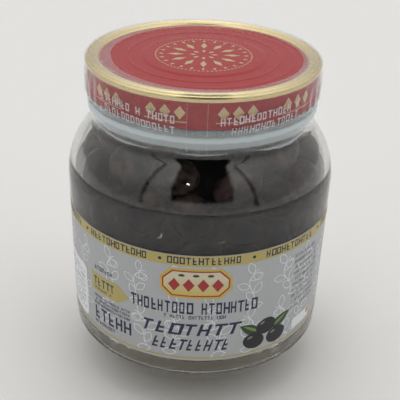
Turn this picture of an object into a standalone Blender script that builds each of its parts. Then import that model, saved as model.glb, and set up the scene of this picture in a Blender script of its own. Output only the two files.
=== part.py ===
# A shut glass jar of black olives, about 1.7 litres.
#
# The jar is a body of revolution about +Z, standing on z = 0 with its origin at
# the middle of its foot. It has a rounded heel, a shallow recess for the wrap
# label, a round shoulder, a bead under the lid and a straight neck. A tinplate
# twist-off lid closes it, and a clear shrink band covers the edge of the lid
# and runs down to the shoulder. The olives float in their brine: they fill the jar
# from the foot of the label up to its neck, and leave its heel clear.

import math
import random

import bmesh
import bpy
import numpy as np
from mathutils import Matrix, Vector

# Driving dimensions, in metres
BODY_RADIUS = 0.0671
BODY_TAPER = 0.0006
SHOULDER_HEIGHT = 0.1050
SHOULDER_ROUND = 0.0380
HEEL_HEIGHT = 0.0230
HEEL_REACH = 0.0300
HEEL_POWER = 1.36
FOOT_INNER_RADIUS = 0.0335
FOOT_OUTER_RADIUS = 0.0375
PUSH_UP = 0.0035
PUSH_UP_SHOULDER = 0.0265
PUSH_UP_BEND = 0.0026
GLASS_WALL = 0.0033
GLASS_FLOOR = 0.0062
FLOOR_CROWN = 0.0012
NECK_RADIUS = 0.0540
NECK_FILLET = 0.0060
RIM_HEIGHT = 0.1627
RIM_LIP = 0.0009
INNER_HEEL_REACH = 0.0285
INNER_HEEL_HEIGHT = 0.0240

# The bead that stands out from the neck just under the lid
BEAD_RADIUS = 0.0561
BEAD_LOW = 0.1405
BEAD_HIGH = 0.1460
BEAD_SLOPE = 0.0018

# The label's place on the glass: a recess as deep as the label and its glue
LABEL_LOW = 0.0312
LABEL_HIGH = 0.0923
LABEL_RECESS = 0.0006
RECESS_MARGIN = 0.0016
RECESS_CORNER = 0.0006
LABEL_THICKNESS = 0.0003
LABEL_GAP_FACETS = 2

# The lid: skirt, rolled gold rim, sunk panel with a raised middle
LID_RADIUS = 0.0567
LID_BOTTOM = 0.1494
LID_RIM_START = 0.1624
LID_CREST = 0.1654
LID_CREST_RADIUS = 0.0539
LID_PANEL = 0.1638
LID_PANEL_RADIUS = 0.0496
LID_MIDDLE_RISE = 0.0004
LID_MIDDLE_RADIUS = 0.0285
LID_SKIRT_WALL = 0.0008
LID_PLATE_UNDER = 0.1630
LID_EDGE_ROUND = 0.0010
LID_STEP_SLOPE = 0.0014
LID_MIDDLE_SLOPE = 0.0025

# The shrink band, as a skin over the lid's edge and the bead
BAND_THICKNESS = 0.0003
BAND_INNER_EDGE = 0.0462
BAND_LOW = 0.1366
BAND_NECK_REST = 0.0029
BAND_NECK_LEAN = 0.0010
FIT_GAP = 0.0003

# The olives: about 220 to a kilogram, each a little different
OLIVE_COUNT = 192
OLIVE_WIDTH = 0.0188
OLIVE_LENGTH = 0.0244
OLIVE_SPREAD = 0.07
OLIVE_WALL_GAP = 0.0006
OLIVE_SEED = 70
START_RADIUS = 0.0560
START_LOW = 0.0360
START_HIGH = 0.1200
FLOAT_LOW = 0.0270
FLOAT_SPREAD = 0.0080
SETTLE_STEPS = 900
START_SIZE = 0.55
GROWN_SHARE = 0.40
SHAKEN_SHARE = 0.80
CALM = 0.1
SINK = 0.00003
SPREAD_OUT = 0.0003
EASE = 0.30
SHOWING_DEPTH = 0.0045
HEAP_TOP_DEPTH = 0.0180
HEAP_UNDER_DEPTH = 0.0180
OLIVE_SLACK = 0.97
OLIVE_SIDES = 8
SIDES_BEHIND_LABEL = 6
OLIVE_RINGS = 4
CORE_DEPTH = 0.0120
CORE_FACETS = 16
CORE_STEP = 0.0080
CORE_TOP_DROP = 0.0110
CORE_UNDER_RISE = 0.0120

# Every turned piece has the same facets, so neighbours keep an even gap
FACETS = 40
SHARP_ANGLE = 35.0
WELD = 0.00001
TINY = 1e-9


def clear_scene():
    """Remove whatever the file holds, so that only the jar is left."""
    for thing in list(bpy.data.objects):
        bpy.data.objects.remove(thing, do_unlink=True)


def material(name, colour, roughness, metallic=0.0, transmission=0.0):
    """A Principled material with a plain linear colour."""
    made = bpy.data.materials.new(name)
    made.use_nodes = True
    shader = made.node_tree.nodes["Principled BSDF"]
    shader.inputs["Base Color"].default_value = (*colour, 1.0)
    shader.inputs["Roughness"].default_value = roughness
    shader.inputs["Metallic"].default_value = metallic
    shader.inputs["Transmission Weight"].default_value = transmission
    return made


def arc(centre, radius, start, end, steps):
    """Points of a round stretch of a profile, between two angles in degrees."""
    points = []
    for step in range(steps + 1):
        angle = math.radians(start + (end - start) * step / steps)
        points.append((centre[0] + radius * math.cos(angle), centre[1] + radius * math.sin(angle)))
    return points


def heel(top_radius, reach, low, high, steps):
    """A heel that bends from the floor up to the wall along a superellipse."""
    points = []
    for step in range(steps + 1):
        angle = math.radians(90.0 * (1.0 - step / steps))
        outward = math.cos(angle) ** (2.0 / HEEL_POWER)
        downward = math.sin(angle) ** (2.0 / HEEL_POWER)
        points.append((top_radius - reach + reach * outward, high - (high - low) * downward))
    return points


def body_radius(height):
    """Outer radius of the jar's wall, which narrows a little downwards."""
    drop = max(0.0, SHOULDER_HEIGHT - height) / (SHOULDER_HEIGHT - HEEL_HEIGHT)
    return BODY_RADIUS - BODY_TAPER * drop


def shoulder_and_fillet(offset, shoulder_steps, fillet_steps):
    """Shoulder arc and the fillet that turns it into the neck, set in by offset."""
    shoulder_centre = (BODY_RADIUS - SHOULDER_ROUND, SHOULDER_HEIGHT)
    fillet_radius_at = NECK_RADIUS + NECK_FILLET
    across = fillet_radius_at - shoulder_centre[0]
    rise = math.sqrt((SHOULDER_ROUND + NECK_FILLET) ** 2 - across ** 2)
    fillet_centre = (fillet_radius_at, SHOULDER_HEIGHT + rise)
    meet = math.degrees(math.atan2(rise, across))
    points = arc(shoulder_centre, SHOULDER_ROUND - offset, 0.0, meet, shoulder_steps)
    points += arc(fillet_centre, NECK_FILLET + offset, 180.0 + meet, 180.0, fillet_steps)[1:]
    return points


def outer_glass():
    """Outer profile of the jar, from the middle of its foot to the rim."""
    heel_top = body_radius(HEEL_HEIGHT)
    points = [(0.0, PUSH_UP), (PUSH_UP_SHOULDER, PUSH_UP_BEND)]
    points += [(FOOT_INNER_RADIUS, 0.0), (FOOT_OUTER_RADIUS, 0.0)]
    points += heel(heel_top, HEEL_REACH, 0.0, HEEL_HEIGHT, 7)[2:]
    low = LABEL_LOW - RECESS_MARGIN
    high = LABEL_HIGH + RECESS_MARGIN
    points += [(body_radius(low), low)]
    points += [(body_radius(LABEL_LOW) - LABEL_RECESS, LABEL_LOW - RECESS_CORNER)]
    points += [(body_radius(LABEL_HIGH) - LABEL_RECESS, LABEL_HIGH + RECESS_CORNER)]
    points += [(body_radius(high), high)]
    points += shoulder_and_fillet(0.0, 5, 2)
    points += [(NECK_RADIUS, BEAD_LOW), (BEAD_RADIUS, BEAD_LOW + BEAD_SLOPE)]
    points += [(BEAD_RADIUS, BEAD_HIGH - BEAD_SLOPE), (NECK_RADIUS, BEAD_HIGH)]
    points += [(NECK_RADIUS, RIM_HEIGHT - RIM_LIP), (NECK_RADIUS - RIM_LIP, RIM_HEIGHT)]
    return points


def inner_glass():
    """Inner profile of the jar, from the middle of its floor to the mouth."""
    wall = body_radius(HEEL_HEIGHT) - GLASS_WALL
    points = [(0.0, GLASS_FLOOR + FLOOR_CROWN)]
    points += heel(wall, INNER_HEEL_REACH, GLASS_FLOOR, INNER_HEEL_HEIGHT, 5)
    points += shoulder_and_fillet(GLASS_WALL, 4, 2)
    mouth = NECK_RADIUS - GLASS_WALL
    points += [(mouth, RIM_HEIGHT - RIM_LIP), (mouth + RIM_LIP, RIM_HEIGHT)]
    return points


def turned_piece(name, profile, look, facets=FACETS):
    """Spin a closed profile round Z, weld its ends and make a named object of it."""
    bm = bmesh.new()
    corners = [bm.verts.new((radius, 0.0, height)) for radius, height in profile]
    edges = [bm.edges.new(pair) for pair in zip(corners, corners[1:])]
    if profile[0][0] > 0.0:
        edges.append(bm.edges.new((corners[-1], corners[0])))
    bmesh.ops.spin(bm, geom=corners + edges, cent=(0.0, 0.0, 0.0), axis=(0.0, 0.0, 1.0),
                   angle=2.0 * math.pi, steps=facets, use_merge=True)
    bmesh.ops.remove_doubles(bm, verts=bm.verts, dist=WELD)
    bmesh.ops.recalc_face_normals(bm, faces=bm.faces)
    return finished(name, bm, look)


def finished(name, bm, look):
    """Turn a bmesh into an object with its own material, shaded smooth."""
    mesh = bpy.data.meshes.new(name)
    bm.to_mesh(mesh)
    bm.free()
    mesh.shade_smooth()
    mesh.set_sharp_from_angle(angle=math.radians(SHARP_ANGLE))
    made = bpy.data.objects.new(name, mesh)
    bpy.context.scene.collection.objects.link(made)
    made.data.materials.append(look)
    return made


def jar_glass():
    """The hollow jar, open at its mouth."""
    look = material("soda_lime_glass", (0.85, 0.88, 0.86), 0.03, transmission=1.0)
    return turned_piece("jar_glass", outer_glass() + inner_glass()[::-1], look)


def lid_top():
    """Upper side of the lid, from the foot of the skirt to the middle of the panel."""
    middle = LID_PANEL + LID_MIDDLE_RISE
    points = [(LID_RADIUS, LID_BOTTOM), (LID_RADIUS, LID_RIM_START)]
    points += [(LID_RADIUS - 0.8 * LID_EDGE_ROUND, LID_CREST - LID_EDGE_ROUND)]
    points += [(LID_CREST_RADIUS, LID_CREST)]
    points += [(LID_PANEL_RADIUS + LID_STEP_SLOPE, LID_CREST - 0.5 * LID_EDGE_ROUND)]
    points += [(LID_PANEL_RADIUS, LID_PANEL), (LID_MIDDLE_RADIUS + LID_MIDDLE_SLOPE, LID_PANEL)]
    points += [(LID_MIDDLE_RADIUS, middle), (0.0, middle)]
    return points


def lid():
    """The tinplate lid: a panel that rests on the rim, and a skirt round the neck."""
    inside = LID_RADIUS - LID_SKIRT_WALL
    under = [(0.0, LID_PLATE_UNDER), (inside - LID_EDGE_ROUND, LID_PLATE_UNDER)]
    under += [(inside, LID_PLATE_UNDER - LID_EDGE_ROUND), (inside, LID_BOTTOM)]
    look = material("red_lacquered_tinplate", (0.36, 0.07, 0.07), 0.35, metallic=0.3)
    return turned_piece("lid", lid_top() + under, look)


def band_line(offset):
    """Line of the shrink band over lid and bead, raised from them by offset."""
    neck = NECK_RADIUS + FIT_GAP + offset
    bead = BEAD_RADIUS + offset
    side = LID_RADIUS + offset
    crest = LID_CREST + offset
    panel = LID_PANEL + offset
    step = LID_PANEL_RADIUS - offset
    points = [(neck, BAND_LOW), (neck + BAND_NECK_LEAN, BAND_LOW + BAND_NECK_REST)]
    points += [(bead, BEAD_LOW + BEAD_SLOPE), (bead, BEAD_HIGH - BEAD_SLOPE)]
    points += [(side, LID_BOTTOM), (side, LID_RIM_START)]
    points += [(side - 0.8 * LID_EDGE_ROUND, crest - 0.8 * LID_EDGE_ROUND), (LID_CREST_RADIUS, crest)]
    points += [(step + LID_STEP_SLOPE, crest - 0.5 * LID_EDGE_ROUND), (step, panel)]
    points += [(BAND_INNER_EDGE, panel)]
    return points


def shrink_band():
    """The clear film that seals the lid, from its panel down to the shoulder."""
    inner = band_line(FIT_GAP)
    outer = band_line(FIT_GAP + BAND_THICKNESS)
    look = material("clear_shrink_film", (0.9, 0.9, 0.9), 0.1, transmission=0.9)
    return turned_piece("shrink_band", outer + inner[::-1], look)


def label():
    """The wrap label: a thin sleeve round the wall, with a gap at the back."""
    inner = [(body_radius(z) - LABEL_RECESS + FIT_GAP, z) for z in (LABEL_LOW, LABEL_HIGH)]
    outer = [(radius + LABEL_THICKNESS, z) for radius, z in inner]
    profile = outer + inner[::-1]
    facet = 2.0 * math.pi / FACETS
    start = Matrix.Rotation(math.pi / 2.0 + facet * LABEL_GAP_FACETS / 2.0, 3, "Z")
    bm = bmesh.new()
    corners = [bm.verts.new(start @ Vector((radius, 0.0, height))) for radius, height in profile]
    edges = [bm.edges.new((corners[i], corners[(i + 1) % 4])) for i in range(4)]
    facets = FACETS - LABEL_GAP_FACETS
    bmesh.ops.spin(bm, geom=corners + edges, cent=(0.0, 0.0, 0.0), axis=(0.0, 0.0, 1.0),
                   angle=facet * facets, steps=facets)
    open_edges = [edge for edge in bm.edges if edge.is_boundary]
    bmesh.ops.holes_fill(bm, edges=open_edges, sides=4)
    bmesh.ops.recalc_face_normals(bm, faces=bm.faces)
    return finished("label", bm, material("metallised_paper", (0.42, 0.43, 0.43), 0.45))


def olive_sizes(draw):
    """Half widths and half lengths of the olives, each drawn a little off the mean."""
    half_width = []
    half_length = []
    for _ in range(OLIVE_COUNT):
        swell = 1.0 + OLIVE_SPREAD * (2.0 * draw.random() - 1.0)
        stretch = 1.0 + OLIVE_SPREAD * (2.0 * draw.random() - 1.0)
        half_width.append(OLIVE_WIDTH / 2.0 * swell)
        half_length.append(OLIVE_LENGTH / 2.0 * swell * stretch)
    return np.array(half_width), np.array(half_length)


def olive_start(draw):
    """Loose starting places in the jar, and a random long axis for each olive."""
    places = []
    axes = []
    while len(places) < OLIVE_COUNT:
        x, y, z = (2.0 * draw.random() - 1.0 for _ in range(3))
        if x * x + y * y < 1.0:
            height = START_LOW + (START_HIGH - START_LOW) * (z + 1.0) / 2.0
            places.append((x * START_RADIUS, y * START_RADIUS, height))
    while len(axes) < OLIVE_COUNT:
        x, y, z = (2.0 * draw.random() - 1.0 for _ in range(3))
        length = math.sqrt(x * x + y * y + z * z)
        if 0.1 < length < 1.0:
            axes.append((x / length, y / length, z / length))
    return np.array(places), np.array(axes)


def float_heights(draw, half_width):
    """How low the middle of each olive can hang in the brine."""
    hang = [FLOAT_LOW + FLOAT_SPREAD * draw.random() for _ in range(OLIVE_COUNT)]
    return np.array(hang) + half_width


def wall_line():
    """Inner glass and lid as one line that the olives stay behind, in whole microns."""
    points = inner_glass()[:-1] + [(0.0, LID_PLATE_UNDER)]
    return np.array([(round(radius, 6), round(height, 6)) for radius, height in points])


def nearest_on_wall(radius, height, line):
    """Distance from each point of the half plane to the wall line, and the way off it."""
    start = line[:-1]
    step = line[1:] - start
    span = step[:, 0] * step[:, 0] + step[:, 1] * step[:, 1]
    from_r = radius[:, None] - start[None, :, 0]
    from_z = height[:, None] - start[None, :, 1]
    along = np.clip((from_r * step[:, 0] + from_z * step[:, 1]) / span, 0.0, 1.0)
    off_r = from_r - along * step[:, 0]
    off_z = from_z - along * step[:, 1]
    distance = np.sqrt(off_r * off_r + off_z * off_z)
    pick = np.argmin(distance, axis=1)
    row = np.arange(len(radius))
    near = np.maximum(distance[row, pick], TINY)
    return near, off_r[row, pick] / near, off_z[row, pick] / near


def size_of(rows):
    """Length of each row of three numbers."""
    return np.sqrt(rows[:, 0] * rows[:, 0] + rows[:, 1] * rows[:, 1] + rows[:, 2] * rows[:, 2])


def three_balls(width, length):
    """An olive as three balls on its long axis: a middle one and one inside each tip."""
    tip = width * width / length
    offset = length - tip
    return ((-offset, tip), (0.0 * offset, width), (offset, tip))


def push_apart(place, axis, width, length, pairs):
    """How far each olive is shoved and turned by the ones that it overlaps."""
    push = np.zeros((OLIVE_COUNT, 3))
    turn = np.zeros((OLIVE_COUNT, 3))
    swing = (length * length + width * width) / 5.0
    reach = length[pairs[0]] + length[pairs[1]]
    close = size_of(place[pairs[0]] - place[pairs[1]]) < reach
    a = pairs[0][close]
    b = pairs[1][close]
    for offset_a, ball_a in three_balls(width, length):
        for offset_b, ball_b in three_balls(width, length):
            from_a = place[a] + axis[a] * offset_a[a][:, None]
            from_b = place[b] + axis[b] * offset_b[b][:, None]
            way = from_a - from_b
            far = np.maximum(size_of(way), TINY)
            overlap = np.maximum(ball_a[a] + ball_b[b] - far, 0.0)
            shove = way * (0.5 * overlap / far)[:, None]
            for k in range(3):
                push[:, k] += np.bincount(a, shove[:, k], OLIVE_COUNT)
                push[:, k] -= np.bincount(b, shove[:, k], OLIVE_COUNT)
                turn[:, k] += np.bincount(a, shove[:, k] * (offset_a / swing)[a], OLIVE_COUNT)
                turn[:, k] -= np.bincount(b, shove[:, k] * (offset_b / swing)[b], OLIVE_COUNT)
    return push, turn


def keep_off_glass(place, axis, width, length, line):
    """Move and turn the olives that come too near the glass back off it."""
    swing = (length * length + width * width) / 5.0
    for offset, size in three_balls(width, length):
        ball = place + axis * offset[:, None]
        radius = np.maximum(np.sqrt(ball[:, 0] * ball[:, 0] + ball[:, 1] * ball[:, 1]), TINY)
        near, way_r, way_z = nearest_on_wall(radius, ball[:, 2], line)
        short = np.maximum(size + OLIVE_WALL_GAP - near, 0.0)
        out = np.stack([ball[:, 0] / radius * way_r, ball[:, 1] / radius * way_r, way_z], axis=1)
        place = place + out * short[:, None]
        axis = axis + out * (0.5 * short * offset / swing)[:, None]
    return place, axis


def settle_olives():
    """Let the olives grow, settle and push each other apart until they lie packed.

    Only sums, products and square roots are used, so the heap is always the same.
    """
    draw = random.Random(OLIVE_SEED)
    half_width, half_length = olive_sizes(draw)
    place, axis = olive_start(draw)
    lowest = float_heights(draw, half_width)
    line = wall_line()
    pairs = np.triu_indices(OLIVE_COUNT, 1)
    for step in range(SETTLE_STEPS):
        grown = min(1.0, START_SIZE + (1.0 - START_SIZE) * step / (GROWN_SHARE * SETTLE_STEPS))
        width = half_width * grown
        length = half_length * grown
        push, turn = push_apart(place, axis, width, length, pairs)
        place = place + push * EASE
        axis = axis + turn * EASE
        shaking = 1.0 if step < SHAKEN_SHARE * SETTLE_STEPS else CALM
        place[:, 2] -= SINK * shaking
        place[:, :2] *= 1.0 + SPREAD_OUT * shaking
        place[:, 2] = np.maximum(place[:, 2], lowest)
        place, axis = keep_off_glass(place, axis, width, length, line)
        axis = axis / size_of(axis)[:, None]
    return place, axis, half_width, half_length


def olives_that_show(place, axis, half_width, half_length):
    """Numbers of the olives next to the glass, on top of the heap or under it."""
    line = wall_line()
    showing = np.zeros(OLIVE_COUNT, dtype=bool)
    for offset, size in three_balls(half_width, half_length):
        ball = place + axis * offset[:, None]
        radius = np.sqrt(ball[:, 0] * ball[:, 0] + ball[:, 1] * ball[:, 1])
        near, _, _ = nearest_on_wall(radius, ball[:, 2], line)
        showing |= near - size < SHOWING_DEPTH
    showing |= place[:, 2] > np.max(place[:, 2]) - HEAP_TOP_DEPTH
    showing |= place[:, 2] < FLOAT_LOW + HEAP_UNDER_DEPTH
    return [int(number) for number in np.nonzero(showing)[0]]


def heap_core(look, top):
    """A plain turned core under the outer olives, set in from the glass."""
    wall = body_radius(HEEL_HEIGHT) - GLASS_WALL - CORE_DEPTH
    low = FLOAT_LOW + CORE_UNDER_RISE
    shoulder = SHOULDER_HEIGHT - CORE_STEP / 2.0
    profile = [(0.0, low), (wall - 2.0 * CORE_STEP, low), (wall - CORE_STEP / 2.0, low + CORE_STEP)]
    profile += [(wall, low + 2.5 * CORE_STEP), (wall, shoulder)]
    profile += [(wall - CORE_STEP, shoulder + 1.8 * CORE_STEP)]
    profile += [(wall - 2.2 * CORE_STEP, top - CORE_STEP / 2.0), (0.0, top)]
    return turned_piece("olives", profile, look, CORE_FACETS)


def one_olive(number, place, axis, half_width, half_length, basket):
    """A plain olive of few faces, in the collection that is joined to the core."""
    bm = bmesh.new()
    covered = LABEL_LOW < place[2] < LABEL_HIGH
    sides = SIDES_BEHIND_LABEL if covered else OLIVE_SIDES
    bmesh.ops.create_uvsphere(bm, u_segments=sides, v_segments=OLIVE_RINGS, radius=OLIVE_SLACK)
    turn = Vector((0.0, 0.0, 1.0)).rotation_difference(Vector(axis)).to_matrix().to_4x4()
    stretch = Matrix.Diagonal((half_width, half_width, half_length, 1.0))
    bm.transform(Matrix.Translation(Vector(place)) @ turn @ stretch)
    mesh = bpy.data.meshes.new("olive")
    bm.to_mesh(mesh)
    bm.free()
    made = bpy.data.objects.new("loose_olive_%03d" % number, mesh)
    basket.objects.link(made)


def keep_whole_body(made):
    """Drop loose scraps and sealed hollows, so that one closed body is left."""
    bm = bmesh.new()
    bm.from_mesh(made.data)
    bmesh.ops.remove_doubles(bm, verts=bm.verts, dist=2.0 * WELD)
    bmesh.ops.dissolve_degenerate(bm, dist=2.0 * WELD, edges=bm.edges)
    bmesh.ops.triangulate(bm, faces=bm.faces)
    waiting = set(bm.faces)
    shells = []
    while waiting:
        shell = [waiting.pop()]
        for face in shell:
            for edge in face.edges:
                for neighbour in edge.link_faces:
                    if neighbour in waiting:
                        waiting.discard(neighbour)
                        shell.append(neighbour)
        shells.append(shell)
    largest = max(shells, key=len)
    scraps = [face for shell in shells if shell is not largest for face in shell]
    bmesh.ops.delete(bm, geom=scraps, context="FACES")
    bm.to_mesh(made.data)
    bm.free()


def olives():
    """The heap: a core with the showing olives fused on by one Boolean union."""
    look = material("black_olive_skin", (0.012, 0.008, 0.009), 0.25)
    place, axis, half_width, half_length = settle_olives()
    top = float(np.max(place[:, 2])) - CORE_TOP_DROP
    heap = heap_core(look, top)
    basket = bpy.data.collections.new("loose_olives")
    bpy.context.scene.collection.children.link(basket)
    for number in olives_that_show(place, axis, half_width, half_length):
        one_olive(number, place[number], axis[number], half_width[number], half_length[number], basket)
    join = heap.modifiers.new("join", "BOOLEAN")
    join.operation = "UNION"
    join.operand_type = "COLLECTION"
    join.collection = basket
    join.solver = "EXACT"
    seen = heap.evaluated_get(bpy.context.evaluated_depsgraph_get())
    joined = bpy.data.meshes.new_from_object(seen)
    heap.modifiers.remove(join)
    heap.data = joined
    for loose in list(basket.objects):
        bpy.data.objects.remove(loose, do_unlink=True)
    bpy.data.collections.remove(basket)
    keep_whole_body(heap)
    return heap


def main():
    clear_scene()
    jar_glass()
    lid()
    shrink_band()
    label()
    olives()


main()
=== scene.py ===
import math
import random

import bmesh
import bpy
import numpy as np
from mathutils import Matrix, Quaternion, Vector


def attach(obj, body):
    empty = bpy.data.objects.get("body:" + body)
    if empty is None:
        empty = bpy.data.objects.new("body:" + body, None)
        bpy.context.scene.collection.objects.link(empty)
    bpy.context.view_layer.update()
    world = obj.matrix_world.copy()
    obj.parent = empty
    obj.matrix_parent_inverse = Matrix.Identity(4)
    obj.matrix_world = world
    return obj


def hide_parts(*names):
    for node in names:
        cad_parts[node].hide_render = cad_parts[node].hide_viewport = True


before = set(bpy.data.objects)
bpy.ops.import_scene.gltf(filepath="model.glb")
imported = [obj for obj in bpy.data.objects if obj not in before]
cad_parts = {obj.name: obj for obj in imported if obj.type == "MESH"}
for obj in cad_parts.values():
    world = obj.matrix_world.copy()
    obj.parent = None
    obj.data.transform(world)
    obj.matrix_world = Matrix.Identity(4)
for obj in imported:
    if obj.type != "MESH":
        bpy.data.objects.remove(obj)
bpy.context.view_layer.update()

# %% [markdown]
# # A shut glass jar of black olives
# The CAD model gives the jar its true size and its plain solids. This script dresses
# them: real glass with brine in it, a heap of wrinkled olives, a lacquered tinplate lid,
# a clear shrink band and a printed label. Each step first says what the real thing is,
# how it could be made in Blender, and why it is made in the way that follows.

# %% [markdown]
# ## The sizes of the jar
# A jar, its lid and its label are drawn from one set of sizes, so that each fits the
# next. These are the CAD model's own values in metres, under the same names. Anything
# that only the looks need is added further down, where it is first used.

# %% Sizes of the glass
BODY_RADIUS = 0.0671
BODY_TAPER = 0.0006
SHOULDER_HEIGHT = 0.1050
SHOULDER_ROUND = 0.0380
HEEL_HEIGHT = 0.0230
HEEL_REACH = 0.0300
HEEL_POWER = 1.36
FOOT_INNER_RADIUS = 0.0335
FOOT_OUTER_RADIUS = 0.0375
PUSH_UP = 0.0035
GLASS_WALL = 0.0033
GLASS_FLOOR = 0.0062
FLOOR_CROWN = 0.0012
NECK_RADIUS = 0.0540
NECK_FILLET = 0.0060
RIM_HEIGHT = 0.1627
RIM_LIP = 0.0009
INNER_HEEL_REACH = 0.0285
INNER_HEEL_HEIGHT = 0.0240
BEAD_RADIUS = 0.0561
BEAD_LOW = 0.1405
BEAD_HIGH = 0.1460
BEAD_SLOPE = 0.0018
print("glass:", 2000 * BODY_RADIUS, "mm across the shoulder,", 1000 * RIM_HEIGHT, "mm to the rim")

# %% Sizes of the label, the lid and the shrink band
LABEL_LOW = 0.0312
LABEL_HIGH = 0.0923
LABEL_RECESS = 0.0006
RECESS_MARGIN = 0.0007
RECESS_CORNER = 0.0002
LABEL_THICKNESS = 0.0003
GLUE_THICKNESS = 0.00025
LABEL_GAP = math.radians(18.0)
LID_RADIUS = 0.0567
LID_BOTTOM = 0.1494
LID_RIM_START = 0.1624
LID_CREST = 0.1654
LID_CREST_RADIUS = 0.0539
LID_PANEL = 0.1638
LID_PANEL_RADIUS = 0.0496
LID_MIDDLE_RISE = 0.0004
LID_MIDDLE_RADIUS = 0.0285
LID_SKIRT_WALL = 0.0008
LID_PLATE_UNDER = 0.1630
LID_EDGE_ROUND = 0.0010
LID_MIDDLE_SLOPE = 0.0025
BAND_THICKNESS = 0.0003
BAND_INNER_EDGE = 0.0462
BAND_LOW = 0.1366
BAND_NECK_REST = 0.0029
FIT_GAP = 0.0003
print("lid:", 2000 * LID_RADIUS, "mm across, label", 1000 * (LABEL_HIGH - LABEL_LOW), "mm high")

# %% [markdown]
# ## Colours and nodes
# Paint and print colours are known as sRGB hex values, but a shader wants linear light,
# so one function converts them. Node trees are long to write by hand, so a few more
# functions add a node, set it and link it in a single call.

# %% Colour and node helpers
def linear(hex_colour):
    """An sRGB hex colour as linear red, green, blue and full alpha."""
    parts = [int(hex_colour[k:k + 2], 16) / 255.0 for k in (1, 3, 5)]
    light = [part / 12.92 if part <= 0.04045 else ((part + 0.055) / 1.055) ** 2.4 for part in parts]
    return (*light, 1.0)


def link(tree, source, socket):
    """Link an output, or the first output of a node, to an input."""
    if isinstance(source, bpy.types.Node):
        source = source.outputs[0]
    tree.links.new(source, socket)


def add(tree, kind, inputs=None, **settings):
    """Add a node, set its settings, and fill or link its inputs by name or number."""
    made = tree.nodes.new(kind)
    for name, value in settings.items():
        setattr(made, name, value)
    for key, value in (inputs or {}).items():
        if isinstance(value, (bpy.types.Node, bpy.types.NodeSocket)):
            link(tree, value, made.inputs[key])
        else:
            made.inputs[key].default_value = value
    return made


def reckon(tree, operation, *values):
    """A Math node that works on one, two or three values."""
    return add(tree, "ShaderNodeMath", dict(enumerate(values)), operation=operation)


def mapped(tree, value, taken, given=(0.0, 1.0), kind="LINEAR"):
    """A Map Range node that turns one span of a value into another span."""
    return add(tree, "ShaderNodeMapRange", {
        "Value": value, "From Min": taken[0], "From Max": taken[1],
        "To Min": given[0], "To Max": given[1]}, interpolation_type=kind)


def new_material(name):
    """An empty material, as its node tree and its output node."""
    made = bpy.data.materials.new(name)
    made.use_nodes = True
    made.node_tree.nodes.clear()
    end = add(made.node_tree, "ShaderNodeOutputMaterial")
    return made, made.node_tree, end

def opaque(name, colour, roughness=0.45, metallic=0.0, grain=None, more=None):
    """An opaque finish of one colour, even or with a fine grain in its gloss.

    A grain is a noise, as its scale, detail and roughness, the span of it that counts,
    and the span of surface roughness that this becomes.
    """
    made, tree, end = new_material(name)
    if grain is not None:
        scale, detail, fineness, taken, given = grain
        coords = add(tree, "ShaderNodeTexCoord")
        spread = add(tree, "ShaderNodeTexNoise", {
            "Vector": coords.outputs["Object"], "Scale": scale, "Detail": detail, "Roughness": fineness})
        roughness = mapped(tree, spread.outputs["Fac"], taken, given)
    shader = add(tree, "ShaderNodeBsdfPrincipled", {
        "Base Color": linear(colour), "Roughness": roughness, "Metallic": metallic, **(more or {})})
    link(tree, shader, end.inputs["Surface"])
    return made


WHITE = linear("#FFFFFF")
print("white in linear light:", WHITE)

# %% [markdown]
# ## The glass
# The jar is blown and pressed soda-lime glass, the common container glass. It is clear,
# with a faint green cast that shows in its thick edges, and its IOR is 1.52. Here its tint
# is made far deeper than that cast, so that the thick edges darken: painted shade, which
# stands for the dimmer surroundings that they show. Where brine touches the inside of the
# wall, light passes from glass to liquid, so that face bends it only by the ratio of the
# two, 1.52 to 1.345. This is why olives under the brine look close to the glass, and why
# the wall seems to vanish there. The brine is salt water that has drawn some brown and
# some fine flesh out of the olives.

# %% Glass and brine
GLASS_IOR = 1.52
BRINE_IOR = 1.345

# Tints deepen with the way that light goes through a body. The glass's tint is far deeper
# than real glass's faint green cast: painted shade that darkens its thick edges
GLASS_CAST_AND_PAINTED_SHADE = linear("#8A8C86")
GLASS_CAST_AND_SHADE_DENSITY = 45.0
BRINE_TINT = linear("#C8BE90")
BRINE_DENSITY = 12.0
BRINE_CLOUD = 24.0


def clear_material(name, ior, tint=None, density=0.0, cloud=0.0):
    """A clear body: it bends light by its IOR, and takes away or scatters some with depth."""
    made, tree, end = new_material(name)
    shader = add(tree, "ShaderNodeBsdfPrincipled", {
        "Base Color": WHITE, "Roughness": 0.0, "IOR": ior, "Transmission Weight": 1.0})
    link(tree, shader, end.inputs["Surface"])
    if tint is not None:
        depth = add(tree, "ShaderNodeVolumeAbsorption", {"Color": tint, "Density": density})
        if cloud > 0.0:
            motes = add(tree, "ShaderNodeVolumeScatter", {
                "Color": linear("#F6F2E4"), "Density": cloud, "Anisotropy": 0.3})
            depth = add(tree, "ShaderNodeAddShader", {0: depth, 1: motes})
        link(tree, depth, end.inputs["Volume"])
    return made


def gloss_over(tree, end, body, power, edge_on, head_on, roughness, bump=None):
    """Lay a gloss over a thin clear body: a few percent head on, and most of it edge-on."""
    ways = {} if bump is None else {"Normal": bump}
    facing = add(tree, "ShaderNodeLayerWeight", {"Blend": 0.5, **ways})
    steep = reckon(tree, "POWER", facing.outputs["Facing"], power)
    share = reckon(tree, "MULTIPLY_ADD", steep, edge_on, head_on)
    gloss = add(tree, "ShaderNodeBsdfGlossy", {"Color": WHITE, "Roughness": roughness, **ways})
    sheet = add(tree, "ShaderNodeMixShader", {0: share, 1: body, 2: gloss})
    link(tree, sheet, end.inputs["Surface"])


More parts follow.
